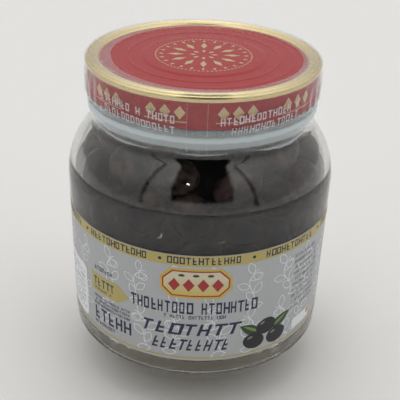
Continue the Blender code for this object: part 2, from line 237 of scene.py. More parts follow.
# A renderer keeps track of the depth in a body by the material that light went in by.
# The dry upper glass is one such body. The lower glass has faces of two kinds, so its
# tint is left out there, where the olives and the label hide what it would do.
# The dry glass carries that deep tint: painted shade on its thick edges
dry_glass = clear_material("soda_lime_glass", GLASS_IOR, GLASS_CAST_AND_PAINTED_SHADE, GLASS_CAST_AND_SHADE_DENSITY)
low_glass = clear_material("soda_lime_glass_below_the_brine", GLASS_IOR)
wetted_glass = clear_material("soda_lime_glass_wetted_by_brine", GLASS_IOR / BRINE_IOR)

# The side of the brine lies in the glass, whose wetted face already bends the light, so
# its own IOR is one. Its surface is a thin sheet that mirrors as still water does.
olive_brine = clear_material("olive_brine", 1.0, BRINE_TINT, BRINE_DENSITY, BRINE_CLOUD)
brine_surface, tree, end = new_material("olive_brine_surface")
through = add(tree, "ShaderNodeBsdfTransparent", {"Color": linear("#FDFDFD")})
gloss_over(tree, end, through, power=5.0, edge_on=0.95, head_on=0.021, roughness=0.05)

# Painted shade: the steep rim of the liquid bends light from the dark inside of the jar to
# the eye, and a dark see-through material on the rim stands in for it
meniscus_painted_shade, tree, end = new_material("olive_brine_meniscus_painted_shade")
shade = add(tree, "ShaderNodeBsdfTransparent", {"Color": linear("#2C2828")})
link(tree, shade, end.inputs["Surface"])
print("glass to brine bends by", round(GLASS_IOR / BRINE_IOR, 3))

# %% [markdown]
# ## Turned pieces
# Glass, lid and band are bodies of revolution: one outline, turned round the upright
# axis. A Screw modifier or Spin would do it. Here the rings are laid out one by one,
# because then each stretch of the outline can carry its own material, such as wet and
# dry glass, or red lacquer and bare gold.

# %% Turning an outline
TURN_SIDES = 192
TINY = 1e-9


def mesh_object(name, vertices, faces, looks, face_looks=None, sharp=35.0):
    """A mesh object at the origin, shaded smooth but for its sharp edges."""
    mesh = bpy.data.meshes.new(name)
    mesh.from_pydata([tuple(v) for v in vertices], [], faces)
    for look in looks:
        mesh.materials.append(look)
    if face_looks is not None:
        mesh.polygons.foreach_set("material_index", face_looks)
    mesh.update()
    mesh.shade_smooth()
    mesh.set_sharp_from_angle(angle=math.radians(sharp))
    made = bpy.data.objects.new(name, mesh)
    bpy.context.scene.collection.objects.link(made)
    return made

def piece_from(name, meshes, sharp=35.0):
    """One object from one or more meshes, each with its own materials."""
    looks = []
    vertices = []
    faces = []
    face_looks = []
    for mesh in meshes:
        first = len(vertices)
        vertices += [tuple(vertex.co) for vertex in mesh.vertices]
        for look in mesh.materials:
            if look not in looks:
                looks.append(look)
        numbers = [looks.index(look) for look in mesh.materials]
        for face in mesh.polygons:
            faces.append([first + corner for corner in face.vertices])
            face_looks.append(numbers[face.material_index])
    return mesh_object(name, vertices, faces, looks, face_looks, sharp)


def turned(name, outline, looks, look_of=None, sides=TURN_SIDES, shape=None):
    """Turn an outline that runs from the bottom outwards, up, inwards and down."""
    vertices = []
    rings = []
    for radius, height in outline:
        if radius < TINY:
            rings.append([len(vertices)] * sides)
            vertices.append((0.0, 0.0, height))
            continue
        rings.append(list(range(len(vertices), len(vertices) + sides)))
        for side in range(sides):
            angle = 2.0 * math.pi * side / sides
            r, z = shape(angle, radius, height) if shape else (radius, height)
            vertices.append((r * math.cos(angle), r * math.sin(angle), z))
    stretches = list(zip(rings, rings[1:]))
    if outline[0][0] > TINY:
        stretches.append((rings[-1], rings[0]))
    faces = []
    face_looks = []
    for number, (low, high) in enumerate(stretches):
        for side in range(sides):
            after = (side + 1) % sides
            corners = dict.fromkeys([low[side], low[after], high[after], high[side]])
            if len(corners) > 2:
                faces.append(list(corners))
                face_looks.append(look_of(number) if look_of else 0)
    return mesh_object(name, vertices, faces, looks, face_looks)


def show_size(made):
    """Print how many triangles a piece has, and how high and wide it is."""
    made.data.calc_loop_triangles()
    size = [round(1000 * value, 1) for value in made.dimensions]
    print(made.name + ":", len(made.data.loop_triangles), "triangles,", size, "mm")


# %% [markdown]
# ## The outline of the jar
# Container glass has no sharp corners: the wall thickens into the heel, the shoulder is
# a full round, and a bead under the lid keeps the shrink band in place. The functions
# are those of the CAD model, with more steps wherever a curve must look smooth.

# %% Outline functions
def arc(centre, radius, start, end, steps):
    """Points of a round stretch of an outline, between two angles in degrees."""
    points = []
    for step in range(steps + 1):
        angle = math.radians(start + (end - start) * step / steps)
        points.append((centre[0] + radius * math.cos(angle), centre[1] + radius * math.sin(angle)))
    return points


def heel(top_radius, reach, low, high, steps):
    """A heel that bends from the floor up to the wall along a superellipse."""
    points = []
    for step in range(steps + 1):
        angle = math.radians(90.0 * (1.0 - step / steps))
        outward = math.cos(angle) ** (2.0 / HEEL_POWER)
        downward = math.sin(angle) ** (2.0 / HEEL_POWER)
        points.append((top_radius - reach + reach * outward, high - (high - low) * downward))
    return points


def body_radius(height):
    """Outer radius of the jar's wall, which narrows a little downwards."""
    drop = max(0.0, SHOULDER_HEIGHT - height) / (SHOULDER_HEIGHT - HEEL_HEIGHT)
    return BODY_RADIUS - BODY_TAPER * drop


def shoulder_and_fillet(offset, shoulder_steps, fillet_steps):
    """Shoulder arc and the fillet that turns it into the neck, set in by offset."""
    shoulder_centre = (BODY_RADIUS - SHOULDER_ROUND, SHOULDER_HEIGHT)
    fillet_radius_at = NECK_RADIUS + NECK_FILLET
    across = fillet_radius_at - shoulder_centre[0]
    rise = math.sqrt((SHOULDER_ROUND + NECK_FILLET) ** 2 - across ** 2)
    fillet_centre = (fillet_radius_at, SHOULDER_HEIGHT + rise)
    meet = math.degrees(math.atan2(rise, across))
    points = arc(shoulder_centre, SHOULDER_ROUND - offset, 0.0, meet, shoulder_steps)
    points += arc(fillet_centre, NECK_FILLET + offset, 180.0 + meet, 180.0, fillet_steps)[1:]
    return points


def inner_glass(heel_steps=5, shoulder_steps=4, fillet_steps=2):
    """Inner outline of the jar, from the middle of its floor to the mouth."""
    wall = body_radius(HEEL_HEIGHT) - GLASS_WALL
    points = [(0.0, GLASS_FLOOR + FLOOR_CROWN)]
    points += heel(wall, INNER_HEEL_REACH, GLASS_FLOOR, INNER_HEEL_HEIGHT, heel_steps)
    points += shoulder_and_fillet(GLASS_WALL, shoulder_steps, fillet_steps)
    mouth = NECK_RADIUS - GLASS_WALL
    points += [(mouth, RIM_HEIGHT - RIM_LIP), (mouth + RIM_LIP, RIM_HEIGHT)]
    return points


def smooth_outer_glass():
    """Outer outline of the jar in fine steps, from the middle of its foot to the rim."""
    points = [(radius, PUSH_UP * share) for radius, share in PUSH_UP_LINE]
    points += [(FOOT_INNER_RADIUS, 0.0002), (FOOT_INNER_RADIUS + 0.0008, 0.0), (FOOT_OUTER_RADIUS, 0.0)]
    curve = heel(body_radius(HEEL_HEIGHT), HEEL_REACH, 0.0, HEEL_HEIGHT, HEEL_STEPS)
    points += [point for point in curve if point[0] > FOOT_OUTER_RADIUS + 0.0015]
    low = LABEL_LOW - RECESS_MARGIN
    high = LABEL_HIGH + RECESS_MARGIN
    points += [(body_radius(low), low)]
    points += [(body_radius(LABEL_LOW) - LABEL_RECESS, LABEL_LOW - RECESS_CORNER)]
    points += [(body_radius(LABEL_HIGH) - LABEL_RECESS, LABEL_HIGH + RECESS_CORNER)]
    points += [(body_radius(high), high)]
    points += shoulder_and_fillet(0.0, SHOULDER_STEPS, FILLET_STEPS)
    reach = BEAD_RADIUS - NECK_RADIUS
    for step in range(BEAD_STEPS + 1):
        share = step / BEAD_STEPS
        height = BEAD_LOW + (BEAD_HIGH - BEAD_LOW) * share
        points.append((NECK_RADIUS + reach * math.sin(math.pi * share) ** BEAD_POWER, height))
    points += [(NECK_RADIUS, RIM_HEIGHT - RIM_LIP)]
    points += arc((NECK_RADIUS - RIM_LIP, RIM_HEIGHT - RIM_LIP), RIM_LIP, 20.0, 90.0, 4)
    return points


# Radius under the jar, and how much of the push-up is left there
PUSH_UP_LINE = ((0.0, 1.0), (0.012, 0.97), (0.022, 0.85), (0.029, 0.55), (0.032, 0.2))
HEEL_STEPS = 40
SHOULDER_STEPS = 36
FILLET_STEPS = 12
BEAD_STEPS = 12
BEAD_POWER = 0.6
outer_line = smooth_outer_glass()
inner_line = inner_glass(HEEL_STEPS, SHOULDER_STEPS, FILLET_STEPS)
print("outer outline has", len(outer_line), "points, inner", len(inner_line))

# %% [markdown]
# ## The jar
# The jar is the outer outline joined to the inner one and turned. The inner wall is
# wetted glass below the brine's edge and dry glass above it.

# %% Turn the jar
BRINE_LEVEL = 0.1100
MENISCUS_RISE = 0.0016

jar_outline = outer_line + inner_line[::-1]


def glass_look(number):
    """Dry glass above the brine, and below it the outer face and the wetted inner face."""
    height = min(jar_outline[number][1], jar_outline[(number + 1) % len(jar_outline)][1])
    if height > BRINE_LEVEL + MENISCUS_RISE:
        return 0
    return 1 if number < len(outer_line) - 1 else 2


jar = turned("glass_jar", jar_outline, [dry_glass, low_glass, wetted_glass], glass_look)
show_size(jar)

# %% [markdown]
# ## The brine
# Brine fills the gaps between the olives up to the shoulder. It climbs the glass in a
# small curve, the meniscus, which shows as a dark line round the jar. It could be cut
# out round each olive, but overlapping them is simpler: the olives let no light through,
# so what lies inside them never shows. The brine reaches a little into the wall, so that
# no gap of air can show between liquid and glass. Its surface is a sheet of its own that
# lies on the body, so that the body has one material and keeps its depth.

# That dark line is painted shade: a dark see-through rim on the surface sheet.
# %% Turn the brine
INTO_WALL = 0.00015
MENISCUS_LENGTH = 0.0026
MENISCUS_REACH = 0.010
MENISCUS_STEPS = 16
RIM_OF_BRINE = 0.0011
SHEET = 0.00004


def moved_out(points, distance):
    """An outline moved outwards, square to itself."""
    moved = []
    for number, (radius, height) in enumerate(points):
        before = points[max(number - 1, 0)]
        after = points[min(number + 1, len(points) - 1)]
        run = (after[0] - before[0], after[1] - before[1])
        length = math.hypot(*run)
        out = (run[1] / length, -run[0] / length)
        if radius < TINY:
            moved.append((0.0, height - distance))
        else:
            moved.append((radius + out[0] * distance, height + out[1] * distance))
    return moved


wall_side = [point for point in moved_out(inner_line, INTO_WALL) if point[1] < BRINE_LEVEL]
edge_radius = BODY_RADIUS - GLASS_WALL
brine_top = []
for step in range(MENISCUS_STEPS + 1):
    inward = MENISCUS_REACH * (step / MENISCUS_STEPS) ** 1.6
    climb = MENISCUS_RISE * math.exp(-inward / MENISCUS_LENGTH)
    brine_top.append((edge_radius - 0.0002 - inward, BRINE_LEVEL + climb))
brine_top.append((0.0, BRINE_LEVEL))
brine_outline = wall_side + [(edge_radius, BRINE_LEVEL + MENISCUS_RISE)] + brine_top
brine_body = turned("brine_body", brine_outline, [olive_brine])

# The sheet is closed, and thin enough to lie just over the body
sheet_line = [(radius, height + 2.0 * SHEET) for radius, height in brine_top]
sheet_line += [(radius, height - SHEET) for radius, height in sheet_line[::-1]]


def sheet_look(number):
    """The rim of the surface in painted shade, or the clear rest of it."""
    return 1 if sheet_line[number][0] > edge_radius - RIM_OF_BRINE else 0


brine_sheet = turned("brine_sheet", sheet_line, [brine_surface, meniscus_painted_shade], sheet_look)
brine = piece_from("olive_brine", [brine_body.data, brine_sheet.data])
for part in (brine_body, brine_sheet):
    bpy.data.objects.remove(part, do_unlink=True)
show_size(brine)

# %% [markdown]
# ## How the olives lie
# Olives poured into a jar settle into a loose random packing, close against the glass.
# In brine they float a little: the lowest hang at the foot of the label, and the heel
# stays clear. Blender's rigid body tools could drop them, but that is hard to repeat.
# The CAD model lets round bodies grow and push each other apart, with plain arithmetic,
# and the same arithmetic here gives the same heap, olive for olive.

# %% Settle the olives
OLIVE_COUNT = 192
OLIVE_WIDTH = 0.0188
OLIVE_LENGTH = 0.0244
OLIVE_SPREAD = 0.07
OLIVE_WALL_GAP = 0.0006
OLIVE_SEED = 70
START_RADIUS = 0.0560
START_LOW = 0.0360
START_HIGH = 0.1200
FLOAT_LOW = 0.0270
FLOAT_SPREAD = 0.0080
SETTLE_STEPS = 900
START_SIZE = 0.55
GROWN_SHARE = 0.40
SHAKEN_SHARE = 0.80
CALM = 0.1
SINK = 0.00003
SPREAD_OUT = 0.0003
EASE = 0.30


def olive_sizes(draw):
    """Half widths and half lengths of the olives, each drawn a little off the mean."""
    half_width = []
    half_length = []
    for _ in range(OLIVE_COUNT):
        swell = 1.0 + OLIVE_SPREAD * (2.0 * draw.random() - 1.0)
        stretch = 1.0 + OLIVE_SPREAD * (2.0 * draw.random() - 1.0)
        half_width.append(OLIVE_WIDTH / 2.0 * swell)
        half_length.append(OLIVE_LENGTH / 2.0 * swell * stretch)
    return np.array(half_width), np.array(half_length)


def olive_start(draw):
    """Loose starting places in the jar, and a random long axis for each olive."""
    places = []
    axes = []
    while len(places) < OLIVE_COUNT:
        x, y, z = (2.0 * draw.random() - 1.0 for _ in range(3))
        if x * x + y * y < 1.0:
            height = START_LOW + (START_HIGH - START_LOW) * (z + 1.0) / 2.0
            places.append((x * START_RADIUS, y * START_RADIUS, height))
    while len(axes) < OLIVE_COUNT:
        x, y, z = (2.0 * draw.random() - 1.0 for _ in range(3))
        length = math.sqrt(x * x + y * y + z * z)
        if 0.1 < length < 1.0:
            axes.append((x / length, y / length, z / length))
    return np.array(places), np.array(axes)


def float_heights(draw, half_width):
    """How low the middle of each olive can hang in the brine."""
    hang = [FLOAT_LOW + FLOAT_SPREAD * draw.random() for _ in range(OLIVE_COUNT)]
    return np.array(hang) + half_width


def wall_line():
    """Inner glass and lid as one line that the olives stay behind, in whole microns."""
    points = inner_glass()[:-1] + [(0.0, LID_PLATE_UNDER)]
    return np.array([(round(radius, 6), round(height, 6)) for radius, height in points])


def nearest_on_wall(radius, height, line):
    """Distance from each point of the half plane to the wall line, and the way off it."""
    start = line[:-1]
    step = line[1:] - start
    span = step[:, 0] * step[:, 0] + step[:, 1] * step[:, 1]
    from_r = radius[:, None] - start[None, :, 0]
    from_z = height[:, None] - start[None, :, 1]
    along = np.clip((from_r * step[:, 0] + from_z * step[:, 1]) / span, 0.0, 1.0)
    off_r = from_r - along * step[:, 0]
    off_z = from_z - along * step[:, 1]
    distance = np.sqrt(off_r * off_r + off_z * off_z)
    pick = np.argmin(distance, axis=1)
    row = np.arange(len(radius))
    near = np.maximum(distance[row, pick], TINY)
    return near, off_r[row, pick] / near, off_z[row, pick] / near


def size_of(rows):
    """Length of each row of three numbers."""
    return np.sqrt(rows[:, 0] * rows[:, 0] + rows[:, 1] * rows[:, 1] + rows[:, 2] * rows[:, 2])


def three_balls(width, length):
    """An olive as three balls on its long axis: a middle one and one inside each tip."""
    tip = width * width / length
    offset = length - tip
    return ((-offset, tip), (0.0 * offset, width), (offset, tip))


def push_apart(place, axis, width, length, pairs):
    """How far each olive is shoved and turned by the ones that it overlaps."""
    push = np.zeros((OLIVE_COUNT, 3))
    turn = np.zeros((OLIVE_COUNT, 3))
    swing = (length * length + width * width) / 5.0
    reach = length[pairs[0]] + length[pairs[1]]
    close = size_of(place[pairs[0]] - place[pairs[1]]) < reach
    a = pairs[0][close]
    b = pairs[1][close]
    for offset_a, ball_a in three_balls(width, length):
        for offset_b, ball_b in three_balls(width, length):
            from_a = place[a] + axis[a] * offset_a[a][:, None]
            from_b = place[b] + axis[b] * offset_b[b][:, None]
            way = from_a - from_b
            far = np.maximum(size_of(way), TINY)
            overlap = np.maximum(ball_a[a] + ball_b[b] - far, 0.0)
            shove = way * (0.5 * overlap / far)[:, None]
            for k in range(3):
                push[:, k] += np.bincount(a, shove[:, k], OLIVE_COUNT)
                push[:, k] -= np.bincount(b, shove[:, k], OLIVE_COUNT)
                turn[:, k] += np.bincount(a, shove[:, k] * (offset_a / swing)[a], OLIVE_COUNT)
                turn[:, k] -= np.bincount(b, shove[:, k] * (offset_b / swing)[b], OLIVE_COUNT)
    return push, turn


def keep_off_glass(place, axis, width, length, line):
    """Move and turn the olives that come too near the glass back off it."""
    swing = (length * length + width * width) / 5.0
    for offset, size in three_balls(width, length):
        ball = place + axis * offset[:, None]
        radius = np.maximum(np.sqrt(ball[:, 0] * ball[:, 0] + ball[:, 1] * ball[:, 1]), TINY)
        near, way_r, way_z = nearest_on_wall(radius, ball[:, 2], line)
        short = np.maximum(size + OLIVE_WALL_GAP - near, 0.0)
        out = np.stack([ball[:, 0] / radius * way_r, ball[:, 1] / radius * way_r, way_z], axis=1)
        place = place + out * short[:, None]
        axis = axis + out * (0.5 * short * offset / swing)[:, None]
    return place, axis


def settle_olives():
    """Let the olives grow, settle and push each other apart until they lie packed."""
    draw = random.Random(OLIVE_SEED)
    half_width, half_length = olive_sizes(draw)
    place, axis = olive_start(draw)
    lowest = float_heights(draw, half_width)
    line = wall_line()
    pairs = np.triu_indices(OLIVE_COUNT, 1)
    for step in range(SETTLE_STEPS):
        grown = min(1.0, START_SIZE + (1.0 - START_SIZE) * step / (GROWN_SHARE * SETTLE_STEPS))
        width = half_width * grown
        length = half_length * grown
        push, turn = push_apart(place, axis, width, length, pairs)
        place = place + push * EASE
        axis = axis + turn * EASE
        shaking = 1.0 if step < SHAKEN_SHARE * SETTLE_STEPS else CALM
        place[:, 2] -= SINK * shaking
        place[:, :2] *= 1.0 + SPREAD_OUT * shaking
        place[:, 2] = np.maximum(place[:, 2], lowest)
        place, axis = keep_off_glass(place, axis, width, length, line)
        axis = axis / size_of(axis)[:, None]
    return place, axis, half_width, half_length


olive_place, olive_axis, olive_half_width, olive_half_length = settle_olives()
heap_top = float(np.max(olive_place[:, 2]))
print(OLIVE_COUNT, "olives settled, the highest at", round(1000 * heap_top, 1), "mm")

# %% [markdown]
# ## Geometry Nodes from a script
# Geometry Nodes are the right tool for what repeats. A tree is a small program that an
# object's modifier runs: one function here makes an empty tree with named inputs, and
# one runs it, keeps the result as a plain mesh and takes the modifier off again.

# %% Geometry Nodes helpers
def new_tree(name, **sizes):
    """A tree with one named input for each size; gives the tree, its inputs and its end."""
    tree = bpy.data.node_groups.new(name, "GeometryNodeTree")
    tree.interface.new_socket(name="Geometry", in_out="INPUT", socket_type="NodeSocketGeometry")
    for label, value in sizes.items():
        kind = "NodeSocketFloat"
        if isinstance(value, bpy.types.Material):
            kind = "NodeSocketMaterial"
        elif isinstance(value, int):
            kind = "NodeSocketInt"
        socket = tree.interface.new_socket(name=label.replace("_", " "), in_out="INPUT", socket_type=kind)
        socket.default_value = value
    tree.interface.new_socket(name="Geometry", in_out="OUTPUT", socket_type="NodeSocketGeometry")
    given = tree.nodes.new("NodeGroupInput").outputs
    end = tree.nodes.new("NodeGroupOutput").inputs
    return tree, given, end


def finish_tree(tree, shape, look, end):
    """Every tree ends the same way: real geometry in its material."""
    real = add(tree, "GeometryNodeRealizeInstances", {"Geometry": shape})
    dressed = add(tree, "GeometryNodeSetMaterial", {"Geometry": real, "Material": look})
    link(tree, dressed, end[0])


def stored(tree, name, kind="FLOAT"):
    """What each point carries under a name."""
    return add(tree, "GeometryNodeInputNamedAttribute", {"Name": name}, data_type=kind)


def chance(tree, low, high, seed):
    """A number between two others, picked anew for each point."""
    picked = add(tree, "FunctionNodeRandomValue", {2: low, 3: high, "Seed": seed}, data_type="FLOAT")
    return picked.outputs[1]


def run_tree(tree, start=None, **sizes):
    """Run a tree on a mesh, with its named inputs set, and give the result as a mesh."""
    host = bpy.data.objects.new("host", start or bpy.data.meshes.new("host"))
    bpy.context.scene.collection.objects.link(host)
    modifier = host.modifiers.new("tree", "NODES")
    modifier.node_group = tree
    sockets = {item.name: item.identifier for item in tree.interface.items_tree
               if item.item_type == "SOCKET" and item.in_out == "INPUT"}
    for label, value in sizes.items():
        modifier[sockets[label.replace("_", " ")]] = value
    seen = host.evaluated_get(bpy.context.evaluated_depsgraph_get())
    made = bpy.data.meshes.new_from_object(seen, depsgraph=bpy.context.evaluated_depsgraph_get())
    host.modifiers.remove(modifier)
    bpy.data.objects.remove(host, do_unlink=True)
    return made

print("a tree can be made, finished and run")

# %% [markdown]
# ## Painted light in the heel
# The heel looks light, with the lowest olives dark in front of it: light from the pale
# floor comes up through the jar's bottom and is scattered by the cloudy brine. Thicker
# scatter in the brine would show it too, but it would veil the olives as well. So that
# light is painted: a thin bowl inside the heel, pale and half clear, that fades out under
# the label.

# %% Make the pale sheet of painted light in the heel
HEEL_LIGHT_DEPTH = 0.0120
HEEL_LIGHT_TOP = 0.0400
HEEL_LIGHT_FADE_FROM = 0.0310
HEEL_LIGHT_FADE_TO = 0.0385
HEEL_LIGHT_SHARE = 0.96

heel_light_look, tree, end = new_material("painted_light_in_the_heel_sheet")
coords = add(tree, "ShaderNodeTexCoord")
place = add(tree, "ShaderNodeSeparateXYZ", {0: coords.outputs["Object"]})
share = mapped(tree, place.outputs[2], (HEEL_LIGHT_FADE_FROM, HEEL_LIGHT_FADE_TO), (HEEL_LIGHT_SHARE, 0.0), "SMOOTHSTEP")
# Pale diffuse mixed with clear by height: painted light, which stands for the light from the pale floor
# that comes up through the heel
through = add(tree, "ShaderNodeBsdfTransparent", {"Color": WHITE})
motes = add(tree, "ShaderNodeBsdfDiffuse", {"Color": linear("#F2EBD4")})
cloud = add(tree, "ShaderNodeMixShader", {0: share, 1: through, 2: motes})
link(tree, cloud, end.inputs["Surface"])

heel_light_low = [point for point in moved_out(inner_line, -HEEL_LIGHT_DEPTH) if point[1] < HEEL_LIGHT_TOP]
heel_light_high = [(radius, height + SHEET) for radius, height in heel_light_low]
painted_heel_light = turned("painted_light_in_the_heel", heel_light_low + heel_light_high[::-1], [heel_light_look])
show_size(painted_heel_light)

# %% [markdown]
# ## Olive skin
# Ripe olives cured in salt turn black with a brown and purple cast. The skin is thin and
# waxy, so it is fairly glossy, and it wrinkles along the fruit as the flesh loses water.
# The wrinkles are too fine to model on two hundred olives, so a stretched noise bumps
# the skin: about one crease each 3 mm. It reads the olive's own place, which the tree
# stores before it copies the olive, so creases follow each fruit. An olive under brine
# has no shine of its own, so the skin below the liquid's edge is a second material.
# That second material's darks are lighter and its tones flatter and greyer: a painted veil, which stands
# for the light that the brine in front scatters.

# %% Olive skin
CREASE_WIDTH = 0.0034
SKIN_IOR = 1.42


def olive_look(name, dark, light, shine):
    """Cured olive skin between two tones, creased along the fruit."""
    made, tree, end = new_material(name)
    own_place = add(tree, "ShaderNodeAttribute", attribute_name="skin_place")
    own_tone = add(tree, "ShaderNodeAttribute", attribute_name="tone")
    along = add(tree, "ShaderNodeVectorMath", {0: own_place.outputs["Vector"], 1: (1.0, 1.0, 0.4)},
                operation="MULTIPLY")
    shift = reckon(tree, "MULTIPLY", own_tone.outputs["Fac"], 40.0)
    crease = add(tree, "ShaderNodeTexNoise", {
        "Vector": along, "W": shift, "Scale": 0.5 * OLIVE_WIDTH / CREASE_WIDTH,
        "Detail": 1.0, "Roughness": 0.4, "Distortion": 0.6}, noise_dimensions="4D")
    bruise = add(tree, "ShaderNodeTexNoise", {
        "Vector": own_place.outputs["Vector"], "W": shift, "Scale": 1.3, "Detail": 5.0},
        noise_dimensions="4D")
    tones = add(tree, "ShaderNodeValToRGB", {"Fac": bruise.outputs["Fac"]})
    for stop, position, tone in zip(tones.color_ramp.elements, (0.42, 0.66), (dark, light)):
        stop.position = position
        stop.color = linear(tone)
    bump = add(tree, "ShaderNodeBump", {
        "Height": crease.outputs["Fac"], "Strength": 0.35, "Distance": 0.0008})
    shader = add(tree, "ShaderNodeBsdfPrincipled", {
        "Base Color": tones.outputs["Color"], "Roughness": 0.38, "IOR": SKIN_IOR,
        "Specular IOR Level": shine, "Normal": bump})
    link(tree, shader, end.inputs["Surface"])
    return made


# In the open the skin shines; in brine, which bends light almost as much, it hardly does.
# Under the brine its darks are also lighter and its tones flatter: a painted veil of the
# light that the brine in front scatters
open_skin = olive_look("cured_black_olive_skin", "#120C0D", "#6E5B56", 0.15)
brined_skin_with_painted_veil = olive_look("cured_black_olive_skin_in_brine_with_painted_veil", "#2A282B", "#3E3B3F", 0.02)
print("creases", 1000 * CREASE_WIDTH, "mm apart")

# %% [markdown]
# ## The heap
# One olive is drawn once, as a ball with a blunter stalk end, and a tree sets a copy on
# each settled place, stretched to that olive's own length and width and turned to its
# axis. After the copies are real, noise dents each skin, so that no two are alike. Only
# olives near the glass are made. A dark core stands for those that nobody sees.

# %% The tree that makes the olives
SKIN_DENT = 0.0022
SEEN_DEPTH = 0.0125

heap_tree, given, end = new_tree("heap_of_olives", Sides=20, Rings=13, Dent_size=1.6, Dent=SKIN_DENT,
                                 Skin=open_skin)
tree = heap_tree
ball = add(tree, "GeometryNodeMeshUVSphere", {
    "Segments": given["Sides"], "Rings": given["Rings"], "Radius": 1.0})
spot = add(tree, "GeometryNodeInputPosition")
kept = add(tree, "GeometryNodeStoreNamedAttribute", {
    "Geometry": ball, "Name": "skin_place", "Value": spot}, data_type="FLOAT_VECTOR", domain="POINT")

# The copied olive: a ball that is blunter at one end
apart = add(tree, "ShaderNodeSeparateXYZ", {0: spot})
blunt = reckon(tree, "MULTIPLY_ADD", apart.outputs[2], -0.07, 1.0)
squeeze = add(tree, "ShaderNodeCombineXYZ", {0: blunt, 1: blunt, 2: 1.0})
egg = add(tree, "ShaderNodeVectorMath", {0: spot, 1: squeeze}, operation="MULTIPLY")
olive = add(tree, "GeometryNodeSetPosition", {"Geometry": kept, "Position": egg})

# A copy on each place, stretched and turned
wide = stored(tree, "half_width")
size = add(tree, "ShaderNodeCombineXYZ", {0: wide, 1: wide, 2: stored(tree, "half_length")})
stand = add(tree, "FunctionNodeAlignRotationToVector", {
    "Vector": stored(tree, "axis", "FLOAT_VECTOR")}, axis="Z")
copies = add(tree, "GeometryNodeInstanceOnPoints", {
    "Points": given["Geometry"], "Instance": olive, "Rotation": stand, "Scale": size})
real = add(tree, "GeometryNodeRealizeInstances", {"Geometry": copies})

# Dents that differ from olive to olive, inwards and outwards of the middle of the noise
other = reckon(tree, "MULTIPLY", stored(tree, "tone"), 30.0)
dents = add(tree, "ShaderNodeTexNoise", {
    "Vector": stored(tree, "skin_place", "FLOAT_VECTOR"), "W": other, "Scale": given["Dent size"],
    "Detail": 2.0, "Roughness": 0.45}, noise_dimensions="4D")
deep = reckon(tree, "MULTIPLY", reckon(tree, "SUBTRACT", dents, 0.56), given["Dent"])
facing = add(tree, "GeometryNodeInputNormal")
push = add(tree, "ShaderNodeVectorMath", {0: facing, "Scale": deep}, operation="SCALE")
dented = add(tree, "GeometryNodeSetPosition", {"Geometry": real, "Offset": push})
finish_tree(tree, dented, given["Skin"], end)
print("olive tree has", len(tree.nodes), "nodes")

# %% Run it on the olives that show
def olives_near_glass(depth):
    """Numbers of the olives whose skin comes within a depth of the glass or the top."""
    near_glass = np.zeros(OLIVE_COUNT, dtype=bool)
    for offset, size in three_balls(olive_half_width, olive_half_length):
        ball = olive_place + olive_axis * offset[:, None]
        radius = np.sqrt(ball[:, 0] * ball[:, 0] + ball[:, 1] * ball[:, 1])
        near, _, _ = nearest_on_wall(radius, ball[:, 2], wall_line())
        near_glass |= near - size < depth
    near_glass |= olive_place[:, 2] > heap_top - TOP_LAYER
    near_glass |= olive_place[:, 2] < FLOAT_LOW + LOW_LAYER
    return np.nonzero(near_glass)[0]


TOP_LAYER = 0.020
LOW_LAYER = 0.022
seen_olives = olives_near_glass(SEEN_DEPTH)
draw = random.Random(7)
spots = bpy.data.meshes.new("olive_places")
spots.from_pydata([tuple(olive_place[number]) for number in seen_olives], [], [])
for name, kind, values in (
        ("axis", "FLOAT_VECTOR", [olive_axis[n] * draw.choice((-1.0, 1.0)) for n in seen_olives]),
        ("half_width", "FLOAT", [olive_half_width[n] for n in seen_olives]),
        ("half_length", "FLOAT", [olive_half_length[n] for n in seen_olives]),
        ("tone", "FLOAT", [draw.random() for n in seen_olives])):
    attribute = spots.attributes.new(name, kind, "POINT")
    key = "vector" if kind == "FLOAT_VECTOR" else "value"
    attribute.data.foreach_set(key, np.array(values, dtype=float).ravel())
heap_mesh = run_tree(heap_tree, spots)
heap_mesh.name = "olives_near_glass"
heap_mesh.materials.clear()
for skin in (open_skin, brined_skin_with_painted_veil):
    heap_mesh.materials.append(skin)

# The skins are cut along the liquid's edge, and those below it get the other material
bm = bmesh.new()
bm.from_mesh(heap_mesh)
everything = bm.verts[:] + bm.edges[:] + bm.faces[:]
bmesh.ops.bisect_plane(bm, geom=everything, plane_co=(0.0, 0.0, BRINE_LEVEL), plane_no=(0.0, 0.0, 1.0))
for face in bm.faces:
    face.material_index = 1 if face.calc_center_median().z < BRINE_LEVEL else 0
bm.to_mesh(heap_mesh)
bm.free()
heap_mesh.shade_smooth()
heap = bpy.data.objects.new("black_olives", heap_mesh)
bpy.context.scene.collection.objects.link(heap)
show_size(heap)

# %% The core behind them
CORE_DEPTH = 0.0160
CORE_FOOT = FLOAT_LOW + 0.014
core_wall = body_radius(HEEL_HEIGHT) - GLASS_WALL - CORE_DEPTH

# How far in from the core's wall, and how high, each corner of its outline lies
core_line = [(0.0, CORE_FOOT)]
for inward, height in (
        (0.014, CORE_FOOT), (0.004, CORE_FOOT + 0.006), (0.0, CORE_FOOT + 0.018),
        (0.0, SHOULDER_HEIGHT - 0.006), (0.008, SHOULDER_HEIGHT + 0.010), (0.018, heap_top - 0.018)):
    core_line.append((core_wall - inward, height))
core_line.append((0.0, heap_top - 0.013))
olive_core_look = opaque("cured_olive_in_shade", "#150E10", more={"IOR": SKIN_IOR})
core = turned("olives_out_of_sight", core_line, [olive_core_look], sides=48)
show_size(core)

# %% [markdown]
# ## The lid
# The lid is stamped from tinplate, lacquered red, with a bare gold-lacquered edge that is
# rolled over the jar's rim. Rings pressed into its panel stiffen it, and the skirt ends
# in a curl. Lacquer over tin is smooth, with a little of the metal's shine. As on the
# glass, the outline is turned and each stretch of it takes its own finish.

